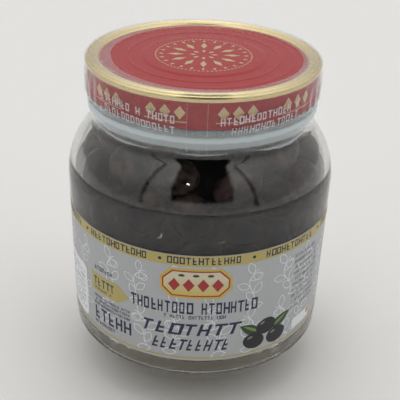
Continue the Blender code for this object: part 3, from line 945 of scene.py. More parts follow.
# %% Lacquered tinplate
red_lacquer = opaque("red_lacquered_tinplate", "#A6272B", more={"Specular IOR Level": 0.18},
                     grain=(160.0, 6.0, 0.7, (0.35, 0.75), (0.20, 0.34)))
gold_lacquer = opaque("gold_lacquered_tinplate", "#DCCB98", metallic=1.0,
                      grain=(90.0, 3.0, 0.5, (0.3, 0.7), (0.18, 0.30)))
print("lid finishes:", red_lacquer.name, "and", gold_lacquer.name)

# %% Turn the lid
GOLD_EDGE_ROUND = 0.0013
SKIRT_NECK_IN = 0.0006
CURL_HEIGHT = 0.0020
CURL_ROUND = 0.0007
RIM_RISE = 0.0023
CREST_RISE = 0.0007
STEP_WIDTH = 0.0013

# Radius, height and half width of each ring that is pressed into the rim and the panel
RIM_RINGS = ((LID_CREST_RADIUS, CREST_RISE, 0.0013), (0.0552, -0.00035, 0.0004), (0.0520, -0.00021, 0.0004))
PANEL_RINGS = ((0.0365, 0.00025, 0.0011), (0.0435, 0.00015, 0.0012))

# The rim is drawn in fine steps, the panel in wider ones, and the flat middle in two
RIM_REACH = 0.0080
RIM_STEPS = 90
PANEL_STEP = 0.0004
FLAT_RADIUS = 0.026
MIDDLE_RADIUS = 0.013


def eased(share):
    """A smooth step from 0 to 1."""
    share = min(1.0, max(0.0, share))
    return share * share * (3.0 - 2.0 * share)


def swell(distance, width):
    """A smooth bump, 1 at no distance and 0 beyond the width."""
    return eased(1.0 - abs(distance) / width)


def lid_height(radius):
    """Height of the lid's upper side: gold rim, step, pressed rings and raised middle."""
    rim = LID_RIM_START + RIM_RISE
    rim += sum(height * swell(radius - middle, width) for middle, height, width in RIM_RINGS)
    panel = LID_PANEL + sum(height * swell(radius - middle, width) for middle, height, width in PANEL_RINGS)
    panel += LID_MIDDLE_RISE * eased((LID_MIDDLE_RADIUS + LID_MIDDLE_SLOPE - radius) / LID_MIDDLE_SLOPE)
    return panel + (rim - panel) * eased((radius - LID_PANEL_RADIUS) / STEP_WIDTH)


inside = LID_RADIUS - LID_SKIRT_WALL - SKIRT_NECK_IN
skirt = LID_RADIUS - SKIRT_NECK_IN
lid_line = [(0.0, LID_PLATE_UNDER), (inside - LID_EDGE_ROUND, LID_PLATE_UNDER)]
lid_line += [(inside, LID_PLATE_UNDER - LID_EDGE_ROUND), (inside, LID_BOTTOM + 0.0006)]
curl_start = len(lid_line)
lid_line += arc((LID_RADIUS - CURL_ROUND, LID_BOTTOM + CURL_ROUND), CURL_ROUND, 200.0, 360.0, 8)
lid_line += [(LID_RADIUS - 0.0001, LID_BOTTOM + 0.0014), (skirt, LID_BOTTOM + CURL_HEIGHT)]
lid_line += [(skirt, LID_RIM_START - 0.0009), (LID_RADIUS - 0.0002, LID_RIM_START - 0.0003)]
gold_start = len(lid_line) - 1
lid_line += arc((LID_RADIUS - GOLD_EDGE_ROUND, LID_RIM_START + 0.0010), GOLD_EDGE_ROUND, 0.0, 90.0, 10)
for step in range(1, RIM_STEPS + 1):
    radius = LID_RADIUS - GOLD_EDGE_ROUND - RIM_REACH * step / RIM_STEPS
    lid_line.append((radius, lid_height(radius)))
while lid_line[-1][0] > FLAT_RADIUS:
    radius = lid_line[-1][0] - PANEL_STEP
    lid_line.append((radius, lid_height(radius)))
lid_line += [(MIDDLE_RADIUS, lid_height(MIDDLE_RADIUS)), (0.0, lid_height(0.0))]


def lid_look(number):
    """Red outside and on the panel, gold on the rim and inside."""
    on_rim = number >= gold_start and lid_line[number][0] > LID_PANEL_RADIUS + 0.0002
    return 1 if number <= curl_start or on_rim else 0


lid = turned("tinplate_lid", lid_line, [red_lacquer, gold_lacquer], lid_look)
show_size(lid)

# %% [markdown]
# ## Printing
# Ink is far too thin to model, yet a print made of real shapes stays sharp at any size
# and keeps its own finish. So each printed shape is a flat solid twenty microns thick,
# laid out on the unrolled label, then rolled round the jar. Layers lie on top of each
# other, as they do on a press. Words are stood for by rows of marks.

# %% Helpers for flat shapes
INK = 0.00002
BEND_STEP = 0.0025


def flat_mesh(outlines, layer, look):
    """Flat solids of ink from outlines in metres, cut so that they can bend."""
    bm = bmesh.new()
    for outline in outlines:
        bm.faces.new([bm.verts.new((x, -layer * INK - 0.5 * INK, z)) for x, z in outline])
    bmesh.ops.triangulate(bm, faces=bm.faces)
    reach = max(abs(vertex.co.x) for vertex in bm.verts)
    cut = BEND_STEP * math.floor(-reach / BEND_STEP)
    while cut < reach:
        everything = bm.verts[:] + bm.edges[:] + bm.faces[:]
        bmesh.ops.bisect_plane(bm, geom=everything, plane_co=(cut, 0, 0), plane_no=(1, 0, 0))
        cut += BEND_STEP
    grown = bmesh.ops.extrude_face_region(bm, geom=bm.faces[:])
    for item in grown["geom"]:
        if isinstance(item, bmesh.types.BMVert):
            item.co.y -= INK
    bmesh.ops.recalc_face_normals(bm, faces=bm.faces)
    mesh = bpy.data.meshes.new("flat")
    bm.to_mesh(mesh)
    bm.free()
    mesh.materials.append(look)
    return mesh


def rolled(mesh, radius_at, roll_radius):
    """Roll a flat mesh round the jar: x becomes an angle, -y a height above the wall."""
    for vertex in mesh.vertices:
        along, lift, height = vertex.co.x, -vertex.co.y, vertex.co.z
        angle = along / roll_radius
        radius = radius_at(angle, height) + lift
        vertex.co = (radius * math.sin(angle), -radius * math.cos(angle), height)
    return mesh


def oblong(left, right, low, high):
    """A rectangle."""
    return [(left, low), (right, low), (right, high), (left, high)]


def lozenge(x, z, width, height):
    """A diamond about its middle."""
    return [(x - width / 2, z), (x, z - height / 2), (x + width / 2, z), (x, z + height / 2)]


def swung(x, z, along, up, turn):
    """The point that lies along and up from another, after a turn in degrees about it."""
    lean = math.radians(turn)
    return (x + along * math.cos(lean) - up * math.sin(lean),
            z + along * math.sin(lean) + up * math.cos(lean))


def oval(x, z, width, height, turn=0.0, points=28):
    """An ellipse about its middle, turned by an angle in degrees."""
    angles = [2.0 * math.pi * number / points for number in range(points)]
    return [swung(x, z, 0.5 * width * math.cos(angle), 0.5 * height * math.sin(angle), turn)
            for angle in angles]


def leaf(x, z, length, width, turn, points=10):
    """A pointed leaf that grows from its stalk in a direction in degrees."""
    sides = [[], []]
    for number in range(points + 1):
        share = number / points
        half = 0.5 * width * math.sin(math.pi * share ** 0.85)
        sides[0].append(swung(x, z, length * share, half, turn))
        sides[1].append(swung(x, z, length * share, -half, turn))
    return sides[0] + sides[1][-2:0:-1]


def clipped(x, z, width, height, corner):
    """A rectangle about its middle with its corners cut off."""
    left, right, low, high = x - width / 2, x + width / 2, z - height / 2, z + height / 2
    return [(left + corner, low), (right - corner, low), (right, low + corner), (right, high - corner),
            (right - corner, high), (left + corner, high), (left, high - corner), (left, low + corner)]


print("ink layers are", 1e6 * INK, "microns thick")

# %% [markdown]
# ## The lid's print
# Gold marks run round the skirt, and a plain gold rosette fills the middle of the panel.
# Both repeat one lozenge round a circle, which is what Geometry Nodes do best: points on
# a circle, a copy on each, turned to face outwards.

# %% A ring of marks
gold_print = opaque("gold_print_on_lacquer", "#C9B083", 0.35, 0.5)

tree, given, end = new_tree("ring_of_marks", Count=12, Radius=0.014, Long=0.007, Wide=0.003,
                            Thick=INK, Corners=4, Look=gold_print)
ring = add(tree, "GeometryNodeMeshCircle", {"Vertices": given["Count"], "Radius": given["Radius"]})
mark = add(tree, "GeometryNodeMeshCylinder", {"Vertices": given["Corners"], "Radius": 0.5, "Depth": 1.0})
spot = add(tree, "GeometryNodeInputPosition")
stand = add(tree, "FunctionNodeAlignRotationToVector", {"Vector": spot}, axis="X")
size = add(tree, "ShaderNodeCombineXYZ", {0: given["Long"], 1: given["Wide"], 2: given["Thick"]})
copies = add(tree, "GeometryNodeInstanceOnPoints", {
    "Points": ring, "Instance": mark, "Rotation": stand, "Scale": size})
finish_tree(tree, copies, given["Look"], end)
marks_tree = tree

# Count, radius of the ring, length, width and corners of each ring of the rosette
panel_print = LID_PANEL + LID_MIDDLE_RISE + INK
rosette = []
for count, radius, length, width, corners in (
        (12, 0.0135, 0.0085, 0.0032, 4), (24, 0.0205, 0.0030, 0.0016, 4),
        (72, 0.0232, 0.0008, 0.0014, 12), (8, 0.0052, 0.0036, 0.0020, 4), (1, 0.0, 0.0034, 0.0034, 24)):
    mesh = run_tree(marks_tree, Count=count, Radius=radius, Long=length, Wide=width, Corners=corners)
    for vertex in mesh.vertices:
        vertex.co.z += panel_print
    rosette.append(mesh)
lid_rosette = piece_from("lid_gold_rosette", rosette)
show_size(lid_rosette)

# %% Marks round the skirt
SKIRT_MARKS = 11
SKIRT_MARK_HEIGHT = 0.1569
LOZENGE_PITCH = 0.0066
LINE_LOW = 0.1524
LINE_HIGH = 0.1529
LINE_HALF = 0.0098
skirt_marks = []
pitch = 2.0 * math.pi * skirt / SKIRT_MARKS
for number in range(SKIRT_MARKS):
    middle = (number - (SKIRT_MARKS - 1) / 2.0) * pitch + 0.5 * pitch
    shapes = [lozenge(middle + shift, SKIRT_MARK_HEIGHT, 0.0052, 0.0064)
              for shift in (-LOZENGE_PITCH, 0.0, LOZENGE_PITCH)]
    shapes += [oblong(middle - LINE_HALF, middle + LINE_HALF, LINE_LOW, LINE_HIGH)]
    skirt_marks.append(rolled(flat_mesh(shapes, 1, gold_print), lambda angle, height: skirt, skirt))
skirt_print = piece_from("lid_skirt_marks", skirt_marks)
show_size(skirt_print)

# %% [markdown]
# ## The shrink band
# A tube of clear PVC film is slipped over the lid and shrunk with hot air. It clings to
# the gold rim and the bead, bridges the hollow between them, and ends in a wavy edge on
# the panel and on the neck. The film is nearly invisible: what shows is its gloss, a
# little haze and its edges. A fully transparent shader mixed with gloss does this with
# far less noise than glass would. Light leaves so thin a film unbent, so its gloss
# depends only on how edge-on it is seen, the same from both sides: a few percent head
# on, and most of it at a glance. A pale bluish layer is mixed into the film by height round
# the bead. Above the bead it is the film's own milkiness, where it shrank most; on the
# bead and at the film's foot it is painted light, with a painted highlight along the top
# of the bead.

# %% Clear shrink film
HAZE_AND_LIGHT_LOW = 0.1360
HAZE_AND_LIGHT_HIGH = 0.1510

# Height and share of the pale layer, from the foot of the film to the lid's skirt: painted
# light at the film's foot and on the lower bead, a painted highlight on the bead's top,
# and milky haze above it
HAZE_AND_LIGHT_BY_HEIGHT = ((0.1371, 0.30), (0.1374, 0.02), (0.1393, 0.03), (0.1402, 0.36), (0.1428, 0.42),
                  (0.1436, 0.78), (0.1450, 0.78), (0.1458, 0.26), (0.1490, 0.20), (0.1500, 0.01))
clear_film, tree, end = new_material("clear_pvc_shrink_film_with_painted_light")
coords = add(tree, "ShaderNodeTexCoord")
ripple = add(tree, "ShaderNodeTexNoise", {
    "Vector": coords.outputs["Object"], "Scale": 220.0, "Detail": 2.0, "Distortion": 0.8})
bump = add(tree, "ShaderNodeBump", {
    "Height": ripple.outputs["Fac"], "Strength": 0.12, "Distance": 0.0006})
place = add(tree, "ShaderNodeSeparateXYZ", {0: coords.outputs["Object"]})
level = mapped(tree, place.outputs[2], (HAZE_AND_LIGHT_LOW, HAZE_AND_LIGHT_HIGH))
haze_and_light_share = add(tree, "ShaderNodeValToRGB", {"Fac": level})
ramp = haze_and_light_share.color_ramp
while len(ramp.elements) < len(HAZE_AND_LIGHT_BY_HEIGHT):
    ramp.elements.new(1.0)
for stop, (height, share) in zip(ramp.elements, HAZE_AND_LIGHT_BY_HEIGHT):
    stop.position = (height - HAZE_AND_LIGHT_LOW) / (HAZE_AND_LIGHT_HIGH - HAZE_AND_LIGHT_LOW)
    stop.color = (share, share, share, 1.0)
through = add(tree, "ShaderNodeBsdfTransparent", {"Color": linear("#FDFDFD")})
# Pale bluish diffuse: painted light and a painted highlight over the bead, milky haze above it
haze = add(tree, "ShaderNodeBsdfDiffuse", {"Color": linear("#DDE7EA")})
hazy = add(tree, "ShaderNodeMixShader", {0: haze_and_light_share, 1: through, 2: haze})
gloss_over(tree, end, hazy, power=6.0, edge_on=0.90, head_on=0.030, roughness=0.06, bump=bump)
print("film mirrors 3 percent head on, and is pale with painted light and milky haze round the bead")

# %% Turn the band
BAND_SHEET = 0.00015
BAND_SIDES = 320
BAND_STEP = 0.0006
EDGE_WAVE = 0.0012
INNER_EDGE_SLANT = 0.0016
INNER_EDGE_WAVE = 0.0004
PUCKER = 0.00022
SLACK = 0.0002
FOLD_WIDTH = 0.003
NECK_STEP = 0.0008


def band_path(offset):
    """Outline of the film from the neck, over bead and lid, to its edge on the panel."""
    neck = NECK_RADIUS + FIT_GAP + offset
    rest = neck + NECK_STEP
    bead = BEAD_RADIUS + offset
    side = LID_RADIUS + offset
    points = [(neck, BAND_LOW), (neck + 0.0002, BAND_LOW + 0.0015), (rest, BAND_LOW + BAND_NECK_REST)]
    for step in range(1, 8):
        share = step / 8.0
        height = BEAD_LOW + (BEAD_HIGH - BEAD_LOW) * share
        points.append((rest + (bead - rest) * math.sin(math.pi * share) ** BEAD_POWER, height))
    points += [(bead - 0.0006, BEAD_HIGH + 0.0004), (side - 0.0002, LID_BOTTOM - 0.0002)]
    points += [(side, LID_BOTTOM + 0.0006), (side, LID_RIM_START + 0.0006)]
    points += arc((side - 0.0014, LID_RIM_START + 0.0012 + offset), 0.0014, 10.0, 90.0, 6)
    for radius, height in (
            (LID_CREST_RADIUS, LID_CREST), (0.0522, LID_CREST - 0.0002), (0.0510, LID_CREST - 0.0006),
            (0.0500, LID_PANEL + 0.0007), (0.0491, LID_PANEL + 0.0002), (0.0478, LID_PANEL),
            (BAND_INNER_EDGE, LID_PANEL)):
        points.append((radius, height + offset))
    return points


def refined(points, step):
    """The same outline with extra points, none further apart than a step."""
    fine = [points[0]]
    for (r0, z0), (r1, z1) in zip(points, points[1:]):
        count = max(1, math.ceil(math.hypot(r1 - r0, z1 - z0) / step))
        for number in range(1, count + 1):
            share = number / count
            fine.append((r0 + (r1 - r0) * share, z0 + (z1 - z0) * share))
    return fine


# Each wave is given as its number of turns, where it starts and its weight, and each
# pucker as its number of turns, its slope and where it starts
draw = random.Random(23)
waves = [(draw.randint(3, 9), draw.uniform(0, 6.28), draw.uniform(0.4, 1.0)) for _ in range(5)]
puckers = [(draw.randint(14, 60), draw.uniform(-420, 420), draw.uniform(0, 6.28)) for _ in range(9)]


def wave(angle):
    """A slow wave round the band, between about -1 and 1."""
    total = sum(weight * math.sin(times * angle + start) for times, start, weight in waves)
    return total / 2.2


def pucker(angle, height):
    """Small folds of the film, steeper where it was shrunk most."""
    total = sum(math.sin(times * angle + slope * height + start) for times, slope, start in puckers)
    return total / 4.0


def film_point(angle, radius, height):
    """Where a point of the band's outline lies, with its waves and folds."""
    low = 1.0 - eased((height - BAND_LOW) / 0.0060)
    inner = 1.0 - eased((radius - BAND_INNER_EDGE) / 0.0030) if height > LID_PANEL else 0.0
    on_neck = 1.0 - eased((height - BEAD_HIGH) / FOLD_WIDTH)
    free = (1.0 - on_neck) * (1.0 - eased((height - LID_RIM_START + FOLD_WIDTH) / FOLD_WIDTH))
    fold = PUCKER * pucker(angle, height) * (0.25 + free + 0.7 * on_neck)
    edge = INNER_EDGE_SLANT * math.cos(angle) + INNER_EDGE_WAVE * wave(angle)
    r = radius + fold + SLACK * free + inner * edge
    z = height + low * EDGE_WAVE * wave(angle)
    if height > LID_PANEL:
        r -= fold
        z += 0.35 * abs(fold) * (1.0 if radius < 0.0505 else 0.3)
    return r, z


band_outer = refined(band_path(FIT_GAP + BAND_SHEET), BAND_STEP)
band_inner = refined(band_path(FIT_GAP), BAND_STEP)
band_line = band_outer + band_inner[::-1]
film_band = turned("shrink_film_band", band_line, [clear_film], sides=BAND_SIDES, shape=film_point)
show_size(film_band)

# %% [markdown]
# ## Words on the film
# The band is printed with two rows of small white words, and two lines of slits let it
# be torn off. No real word is drawn: a tree lays four kinds of plain marks along a line,
# picked by chance, with a gap left here and there as between words. From a step away
# they read as print. The same tree serves every row of words on the label.

# %% A tree for rows of marks
navy_ink = opaque("navy_ink", "#162243", 0.5)
white_ink = opaque("white_ink", "#D6C8CB", 0.5)

# Each mark is made of bars, given as left, right, low and high in a box of one by one
UPRIGHT, CROSSBAR = 0.26, 0.17
LEFT_POST = (0.0, UPRIGHT, 0.0, 1.0)
RIGHT_POST = (1.0 - UPRIGHT, 1.0, 0.0, 1.0)
MARKS = (
    (LEFT_POST, RIGHT_POST, (UPRIGHT, 1.0 - UPRIGHT, 0.4, 0.4 + CROSSBAR)),
    (LEFT_POST, RIGHT_POST, (UPRIGHT, 1.0 - UPRIGHT, 0.0, CROSSBAR),
     (UPRIGHT, 1.0 - UPRIGHT, 1.0 - CROSSBAR, 1.0)),
    ((0.1, 0.1 + UPRIGHT, 0.0, 1.0), (0.1 + UPRIGHT, 0.9, 0.0, CROSSBAR),
     (0.1 + UPRIGHT, 0.8, 0.4, 0.4 + CROSSBAR)),
    ((0.36, 0.36 + UPRIGHT, 0.0, 1.0), (0.0, 0.36, 1.0 - CROSSBAR, 1.0),
     (0.36 + UPRIGHT, 1.0, 1.0 - CROSSBAR, 1.0)))

tree, given, end = new_tree("row_of_marks", Length=0.060, Height=0.006, Pitch=0.0022,
                            Width=0.0017, Slant=0.0, Gaps=0.12, Seed=1, Thick=INK, Ink=navy_ink)
number = reckon(tree, "DIVIDE", given["Length"], given["Pitch"])
step = add(tree, "ShaderNodeCombineXYZ", {0: given["Pitch"]})
line = add(tree, "GeometryNodeMeshLine", {"Count": number, "Offset": step})
gap = add(tree, "FunctionNodeRandomValue", {"Probability": given["Gaps"], "Seed": given["Seed"]},
          data_type="BOOLEAN")
words = add(tree, "GeometryNodeDeleteGeometry", {"Geometry": line, "Selection": gap.outputs[3]})
kinds = add(tree, "GeometryNodeJoinGeometry")
for mark in reversed(MARKS):
    bars = add(tree, "GeometryNodeJoinGeometry")
    for left, right, low, high in mark:
        bar = add(tree, "GeometryNodeMeshCube", {
            "Size": (right - left, 1.0, high - low), "Vertices X": 2 if high - low > 0.5 else 3})
        seated = add(tree, "GeometryNodeTransform", {
            "Geometry": bar, "Translation": ((left + right) / 2.0, -0.5, (low + high) / 2.0)})
        link(tree, seated, bars.inputs[0])
    link(tree, add(tree, "GeometryNodeGeometryToInstance", {"Geometry": bars}), kinds.inputs[0])
pick = add(tree, "FunctionNodeRandomValue", {4: 0, 5: len(MARKS) - 1, "Seed": given["Seed"]},
           data_type="INT")
wide = chance(tree, 0.8, 1.1, reckon(tree, "ADD", given["Seed"], 5.0))
across = reckon(tree, "MULTIPLY", given["Width"], wide)
size = add(tree, "ShaderNodeCombineXYZ", {0: across, 1: given["Thick"], 2: given["Height"]})
copies = add(tree, "GeometryNodeInstanceOnPoints", {
    "Points": words, "Instance": kinds, "Pick Instance": True, "Instance Index": pick.outputs[2],
    "Scale": size})
real = add(tree, "GeometryNodeRealizeInstances", {"Geometry": copies})
apart = add(tree, "ShaderNodeSeparateXYZ", {0: add(tree, "GeometryNodeInputPosition")})
lean = reckon(tree, "MULTIPLY", apart.outputs[2], given["Slant"])
sideways = add(tree, "ShaderNodeCombineXYZ", {0: lean})
leaning = add(tree, "GeometryNodeSetPosition", {"Geometry": real, "Offset": sideways})
finish_tree(tree, leaning, given["Ink"], end)
marks_row_tree = tree


def row_of_marks(left, low, layer, **sizes):
    """One row of marks from its lower left corner, on a layer of ink."""
    mesh = run_tree(marks_row_tree, **sizes)
    for vertex in mesh.vertices:
        vertex.co.x += left
        vertex.co.y -= layer * INK
        vertex.co.z += low
    return mesh


print("the tree for words has", len(tree.nodes), "nodes")

# %% White words and slits on the film
def film_radius(angle, height):
    """Outer radius of the film at an angle from the front and a height."""
    below_crest = [point for point in band_outer if point[1] <= LID_CREST]
    radius, level = min(below_crest, key=lambda point: abs(point[1] - height))
    return film_point(angle - math.pi / 2.0, radius, level)[0]


WORD_PLACES = 6
WORD_RISE = 0.07
SLITS = 15
SLIT_PITCH = 0.0016
film_words = []
for number in range(WORD_PLACES):
    middle = math.pi * LID_RADIUS * ((2 * number + 1) / WORD_PLACES - 1.0)
    lean = WORD_RISE if number % 2 else -WORD_RISE
    for low, length, seed in ((0.1532, 0.043, 3), (0.1482, 0.038, 8)):
        row = row_of_marks(middle - length / 2.0, 0.0, 0, Length=length, Height=0.0036, Pitch=0.0027,
                           Width=0.0021, Seed=seed + number, Gaps=0.10, Ink=white_ink)
        for vertex in row.vertices:
            vertex.co.z += low + lean * (vertex.co.x - middle)
        film_words.append(rolled(row, film_radius, LID_RADIUS))
for seam in (-0.0062, 0.0026):
    slits = [oblong(seam, seam + 0.00013, 0.1384 + SLIT_PITCH * slit, 0.1394 + SLIT_PITCH * slit)
             for slit in range(SLITS)]
    film_words.append(rolled(flat_mesh(slits, 0, white_ink), film_radius, LID_RADIUS))
film_print = piece_from("film_words_and_slits", film_words)
show_size(film_print)

# %% [markdown]
# ## The label
# The wrap label is metallised paper: paper under a breath of aluminium, so it is silver
# and dull, brighter where it faces the light. It is a sleeve with a gap at the back,
# where its ends stop short of each other.

# %% Metallised paper
metallised_paper = opaque("metallised_paper", "#B2B4B6", metallic=0.55,
                          grain=(420.0, 4.0, 0.6, (0.3, 0.7), (0.36, 0.5)))
label_back = opaque("label_paper_back", "#D8D6D0", 0.8)
print("label of", metallised_paper.name)

# %% Roll the label
LABEL_ROLL = 0.0668
LABEL_STEPS = 240
label_half = math.pi - LABEL_GAP / 2.0
label_rows = [LABEL_LOW + (LABEL_HIGH - LABEL_LOW) * share for share in (0.0, 0.25, 0.5, 0.75, 1.0)]


def label_face(angle, height):
    """Radius of the label's printed face."""
    return body_radius(height) - LABEL_RECESS + FIT_GAP + LABEL_THICKNESS


def label_piece(name, flats):
    """One piece of print from flat meshes that are rolled onto the label."""
    made = piece_from(name, [rolled(flat, label_face, LABEL_ROLL) for flat in flats])
    show_size(made)
    return made


vertices = []
for step in range(LABEL_STEPS + 1):
    angle = -label_half + 2.0 * label_half * step / LABEL_STEPS
    ring = [(label_face(angle, z), z) for z in label_rows]
    ring += [(radius - LABEL_THICKNESS - GLUE_THICKNESS, z) for radius, z in ring[::-1]]
    vertices += [(radius * math.sin(angle), -radius * math.cos(angle), z) for radius, z in ring]
around = 2 * len(label_rows)
faces = []
face_looks = []
for step in range(LABEL_STEPS):
    for k in range(around):
        low, high = step * around + k, step * around + (k + 1) % around
        faces.append([low, low + around, high + around, high])
        face_looks.append(1 if len(label_rows) <= k < around - 1 else 0)
faces += [list(range(around)), [LABEL_STEPS * around + k for k in range(around)][::-1]]
face_looks += [0, 0]
label = mesh_object("paper_label", vertices, faces, [metallised_paper, label_back], face_looks)
show_size(label)

# %% [markdown]
# ## The ornament on the label
# Pale sprigs are drawn on the silver in thin line: a bent stem that ends in a curl, with
# leaves in outline to either side. A tree draws one sprig from a bent line, a spiral and
# a leaf, sweeps a flat ribbon of ink along each, and copies the sprig over two rows of
# points, each copy leaning and sized a little differently.

# %% A tree for the sprigs
SPRIG_COLUMNS = 22
SPRIG_MIDDLE = 0.0592
SPRIG_PITCH = 0.0255
pale_ink = opaque("pale_silver_ink", "#D9DDE0", 0.4)

tree, given, end = new_tree("leaf_sprigs", Line=0.00048, Leaf_long=0.0076, Leaf_wide=0.0042,
                            Leaves=6, Across=0.380, Seed=4, Thick=INK, Ink=pale_ink)
profile = add(tree, "GeometryNodeCurvePrimitiveQuadrilateral", {
    "Width": given["Line"], "Height": given["Thick"]})


def inked(curve):
    """A flat ribbon of ink along a curve."""
    return add(tree, "GeometryNodeCurveToMesh", {
        "Curve": curve, "Profile Curve": profile, "Fill Caps": True})


stem = add(tree, "GeometryNodeCurvePrimitiveBezierSegment", {
    "Resolution": 18, "Start": (-0.0015, -0.0125, 0.0), "Start Handle": (0.0075, -0.0060, 0.0),
    "End Handle": (-0.0075, 0.0020, 0.0), "End": (0.0005, 0.0085, 0.0)})
curl_line = add(tree, "GeometryNodeCurveSpiral", {
    "Resolution": 22, "Rotations": 1.1, "Start Radius": 0.0012, "End Radius": 0.0040, "Height": 0.0})
curl = add(tree, "GeometryNodeTransform", {
    "Geometry": curl_line, "Translation": (0.0038, 0.0072, 0.0), "Rotation": (0.0, 0.0, 2.2)})

# A circle of radius one is drawn out into a pointed leaf
ring = add(tree, "GeometryNodeCurvePrimitiveCircle", {"Resolution": 18, "Radius": 1.0})
apart = add(tree, "ShaderNodeSeparateXYZ", {0: add(tree, "GeometryNodeInputPosition")})
pointed = reckon(tree, "MULTIPLY", apart.outputs[1], reckon(tree, "ABSOLUTE", apart.outputs[1]))
long = reckon(tree, "MULTIPLY_ADD", apart, 0.5, 0.58)
length = reckon(tree, "MULTIPLY", long, given["Leaf long"])
width = reckon(tree, "MULTIPLY", pointed, reckon(tree, "MULTIPLY", given["Leaf wide"], 0.5))
shaped = add(tree, "ShaderNodeCombineXYZ", {0: length, 1: width})
leaf_line = add(tree, "GeometryNodeSetPosition", {"Geometry": ring, "Position": shaped})

# Leaves stand along the stem, to the left and to the right in turn
buds = add(tree, "GeometryNodeResampleCurve", {"Curve": stem, "Count": given["Leaves"]})
way = add(tree, "GeometryNodeInputTangent")
follow = add(tree, "FunctionNodeAlignRotationToVector", {"Vector": way}, axis="X")
parity = reckon(tree, "MODULO", add(tree, "GeometryNodeInputIndex"), 2.0)
side = reckon(tree, "MULTIPLY_ADD", parity, 1.7, -0.85)
fan = add(tree, "ShaderNodeCombineXYZ", {2: side})
spread = add(tree, "FunctionNodeRotateRotation", {0: follow, 1: fan}, rotation_space="LOCAL")
leaves = add(tree, "GeometryNodeInstanceOnPoints", {
    "Points": buds, "Instance": inked(leaf_line), "Rotation": spread})
sprig = add(tree, "GeometryNodeJoinGeometry")
for part in (inked(stem), inked(curl), leaves):
    link(tree, part, sprig.inputs[0])

# Two rows of places, each shifted, with a sprig that leans and is sized by chance
field = add(tree, "GeometryNodeMeshGrid", {
    "Size X": given["Across"], "Size Y": SPRIG_PITCH, "Vertices X": SPRIG_COLUMNS, "Vertices Y": 2})
sideways = add(tree, "ShaderNodeCombineXYZ", {0: chance(tree, -0.0045, 0.0045, given["Seed"])})
strewn = add(tree, "GeometryNodeSetPosition", {"Geometry": field, "Offset": sideways})
twist = add(tree, "ShaderNodeCombineXYZ", {2: chance(tree, -0.45, 0.45, given["Seed"])})
grown = chance(tree, 0.78, 0.98, given["Seed"])
mirror = reckon(tree, "MULTIPLY_ADD", parity, 2.0, -1.0)
sized = add(tree, "ShaderNodeCombineXYZ", {0: reckon(tree, "MULTIPLY", grown, mirror), 1: grown, 2: 1.0})
sprigs = add(tree, "GeometryNodeInstanceOnPoints", {
    "Points": strewn, "Instance": sprig, "Rotation": twist, "Scale": sized})
upright = add(tree, "GeometryNodeTransform", {
    "Geometry": sprigs, "Rotation": (math.pi / 2.0, 0.0, 0.0)})
finish_tree(tree, upright, given["Ink"], end)

flat_sprigs = run_tree(tree)
for vertex in flat_sprigs.vertices:
    vertex.co.y -= 0.5 * INK
    vertex.co.z += SPRIG_MIDDLE
bm = bmesh.new()
bm.from_mesh(flat_sprigs)
bmesh.ops.recalc_face_normals(bm, faces=bm.faces)
bm.to_mesh(flat_sprigs)
bm.free()
label_scrolls = label_piece("label_leaf_scrolls", [flat_sprigs])

# %% [markdown]
# ## Bands, panels and the plaque
# The rest of the print is made of plain shapes: a gold band along the top, a white panel
# and a pointed gold plaque on the left, a cream plaque in the middle with a row of red
# lozenges, and a small heap of three olives with two leaves.

# %% Gold and white areas
gold_ink = opaque("gold_ink", "#B5A76B", 0.38, 0.45)
panel_ink = opaque("white_panel_ink", "#E4E6E8", 0.5)
orange_ink = opaque("orange_ink", "#C9814A")
edge = label_half * LABEL_ROLL - 0.0006
gold_shapes = [
    oblong(-edge, edge, 0.0865, LABEL_HIGH - 0.0003),
    oblong(-edge, edge, LABEL_LOW + 0.0012, LABEL_LOW + 0.0021),
    [(-0.0590, 0.0560), (-0.0400, 0.0560), (-0.0330, 0.0612), (-0.0400, 0.0668), (-0.0590, 0.0668)]]
white_shapes = [
    clipped(-0.0790, 0.0500, 0.0290, 0.0310, 0.0020), clipped(0.0635, 0.0390, 0.0165, 0.0062, 0.0010),
    clipped(0.1400, 0.0560, 0.0760, 0.0420, 0.0020)]
label_areas = label_piece("label_gold_and_white", [
    flat_mesh(gold_shapes, 1, gold_ink), flat_mesh(white_shapes, 1, panel_ink),
    flat_mesh([oval(0.0700, 0.0400, 0.0030, 0.0034)], 2, orange_ink)])

# %% The plaque
PLAQUE_MIDDLE = 0.0768
PLAQUE_FADE = (0.0700, 0.0800)
cream_ink, tree, end = new_material("cream_to_yellow_ink")
coords = add(tree, "ShaderNodeTexCoord")
place = add(tree, "ShaderNodeSeparateXYZ", {0: coords.outputs["Object"]})
fade = add(tree, "ShaderNodeValToRGB", {"Fac": mapped(tree, place.outputs[2], PLAQUE_FADE)})
for stop, colour in zip(fade.color_ramp.elements, ("#CDB557", "#D3CBB0")):
    stop.color = linear(colour)
shader = add(tree, "ShaderNodeBsdfPrincipled", {"Base Color": fade.outputs["Color"], "Roughness": 0.45})
link(tree, shader, end.inputs["Surface"])
yellow_ink = opaque("yellow_ink", "#C9AE48")
red_ink = opaque("red_ink", "#A32B2E", 0.4)
green_ink = opaque("green_ink", "#26401F", 0.5)

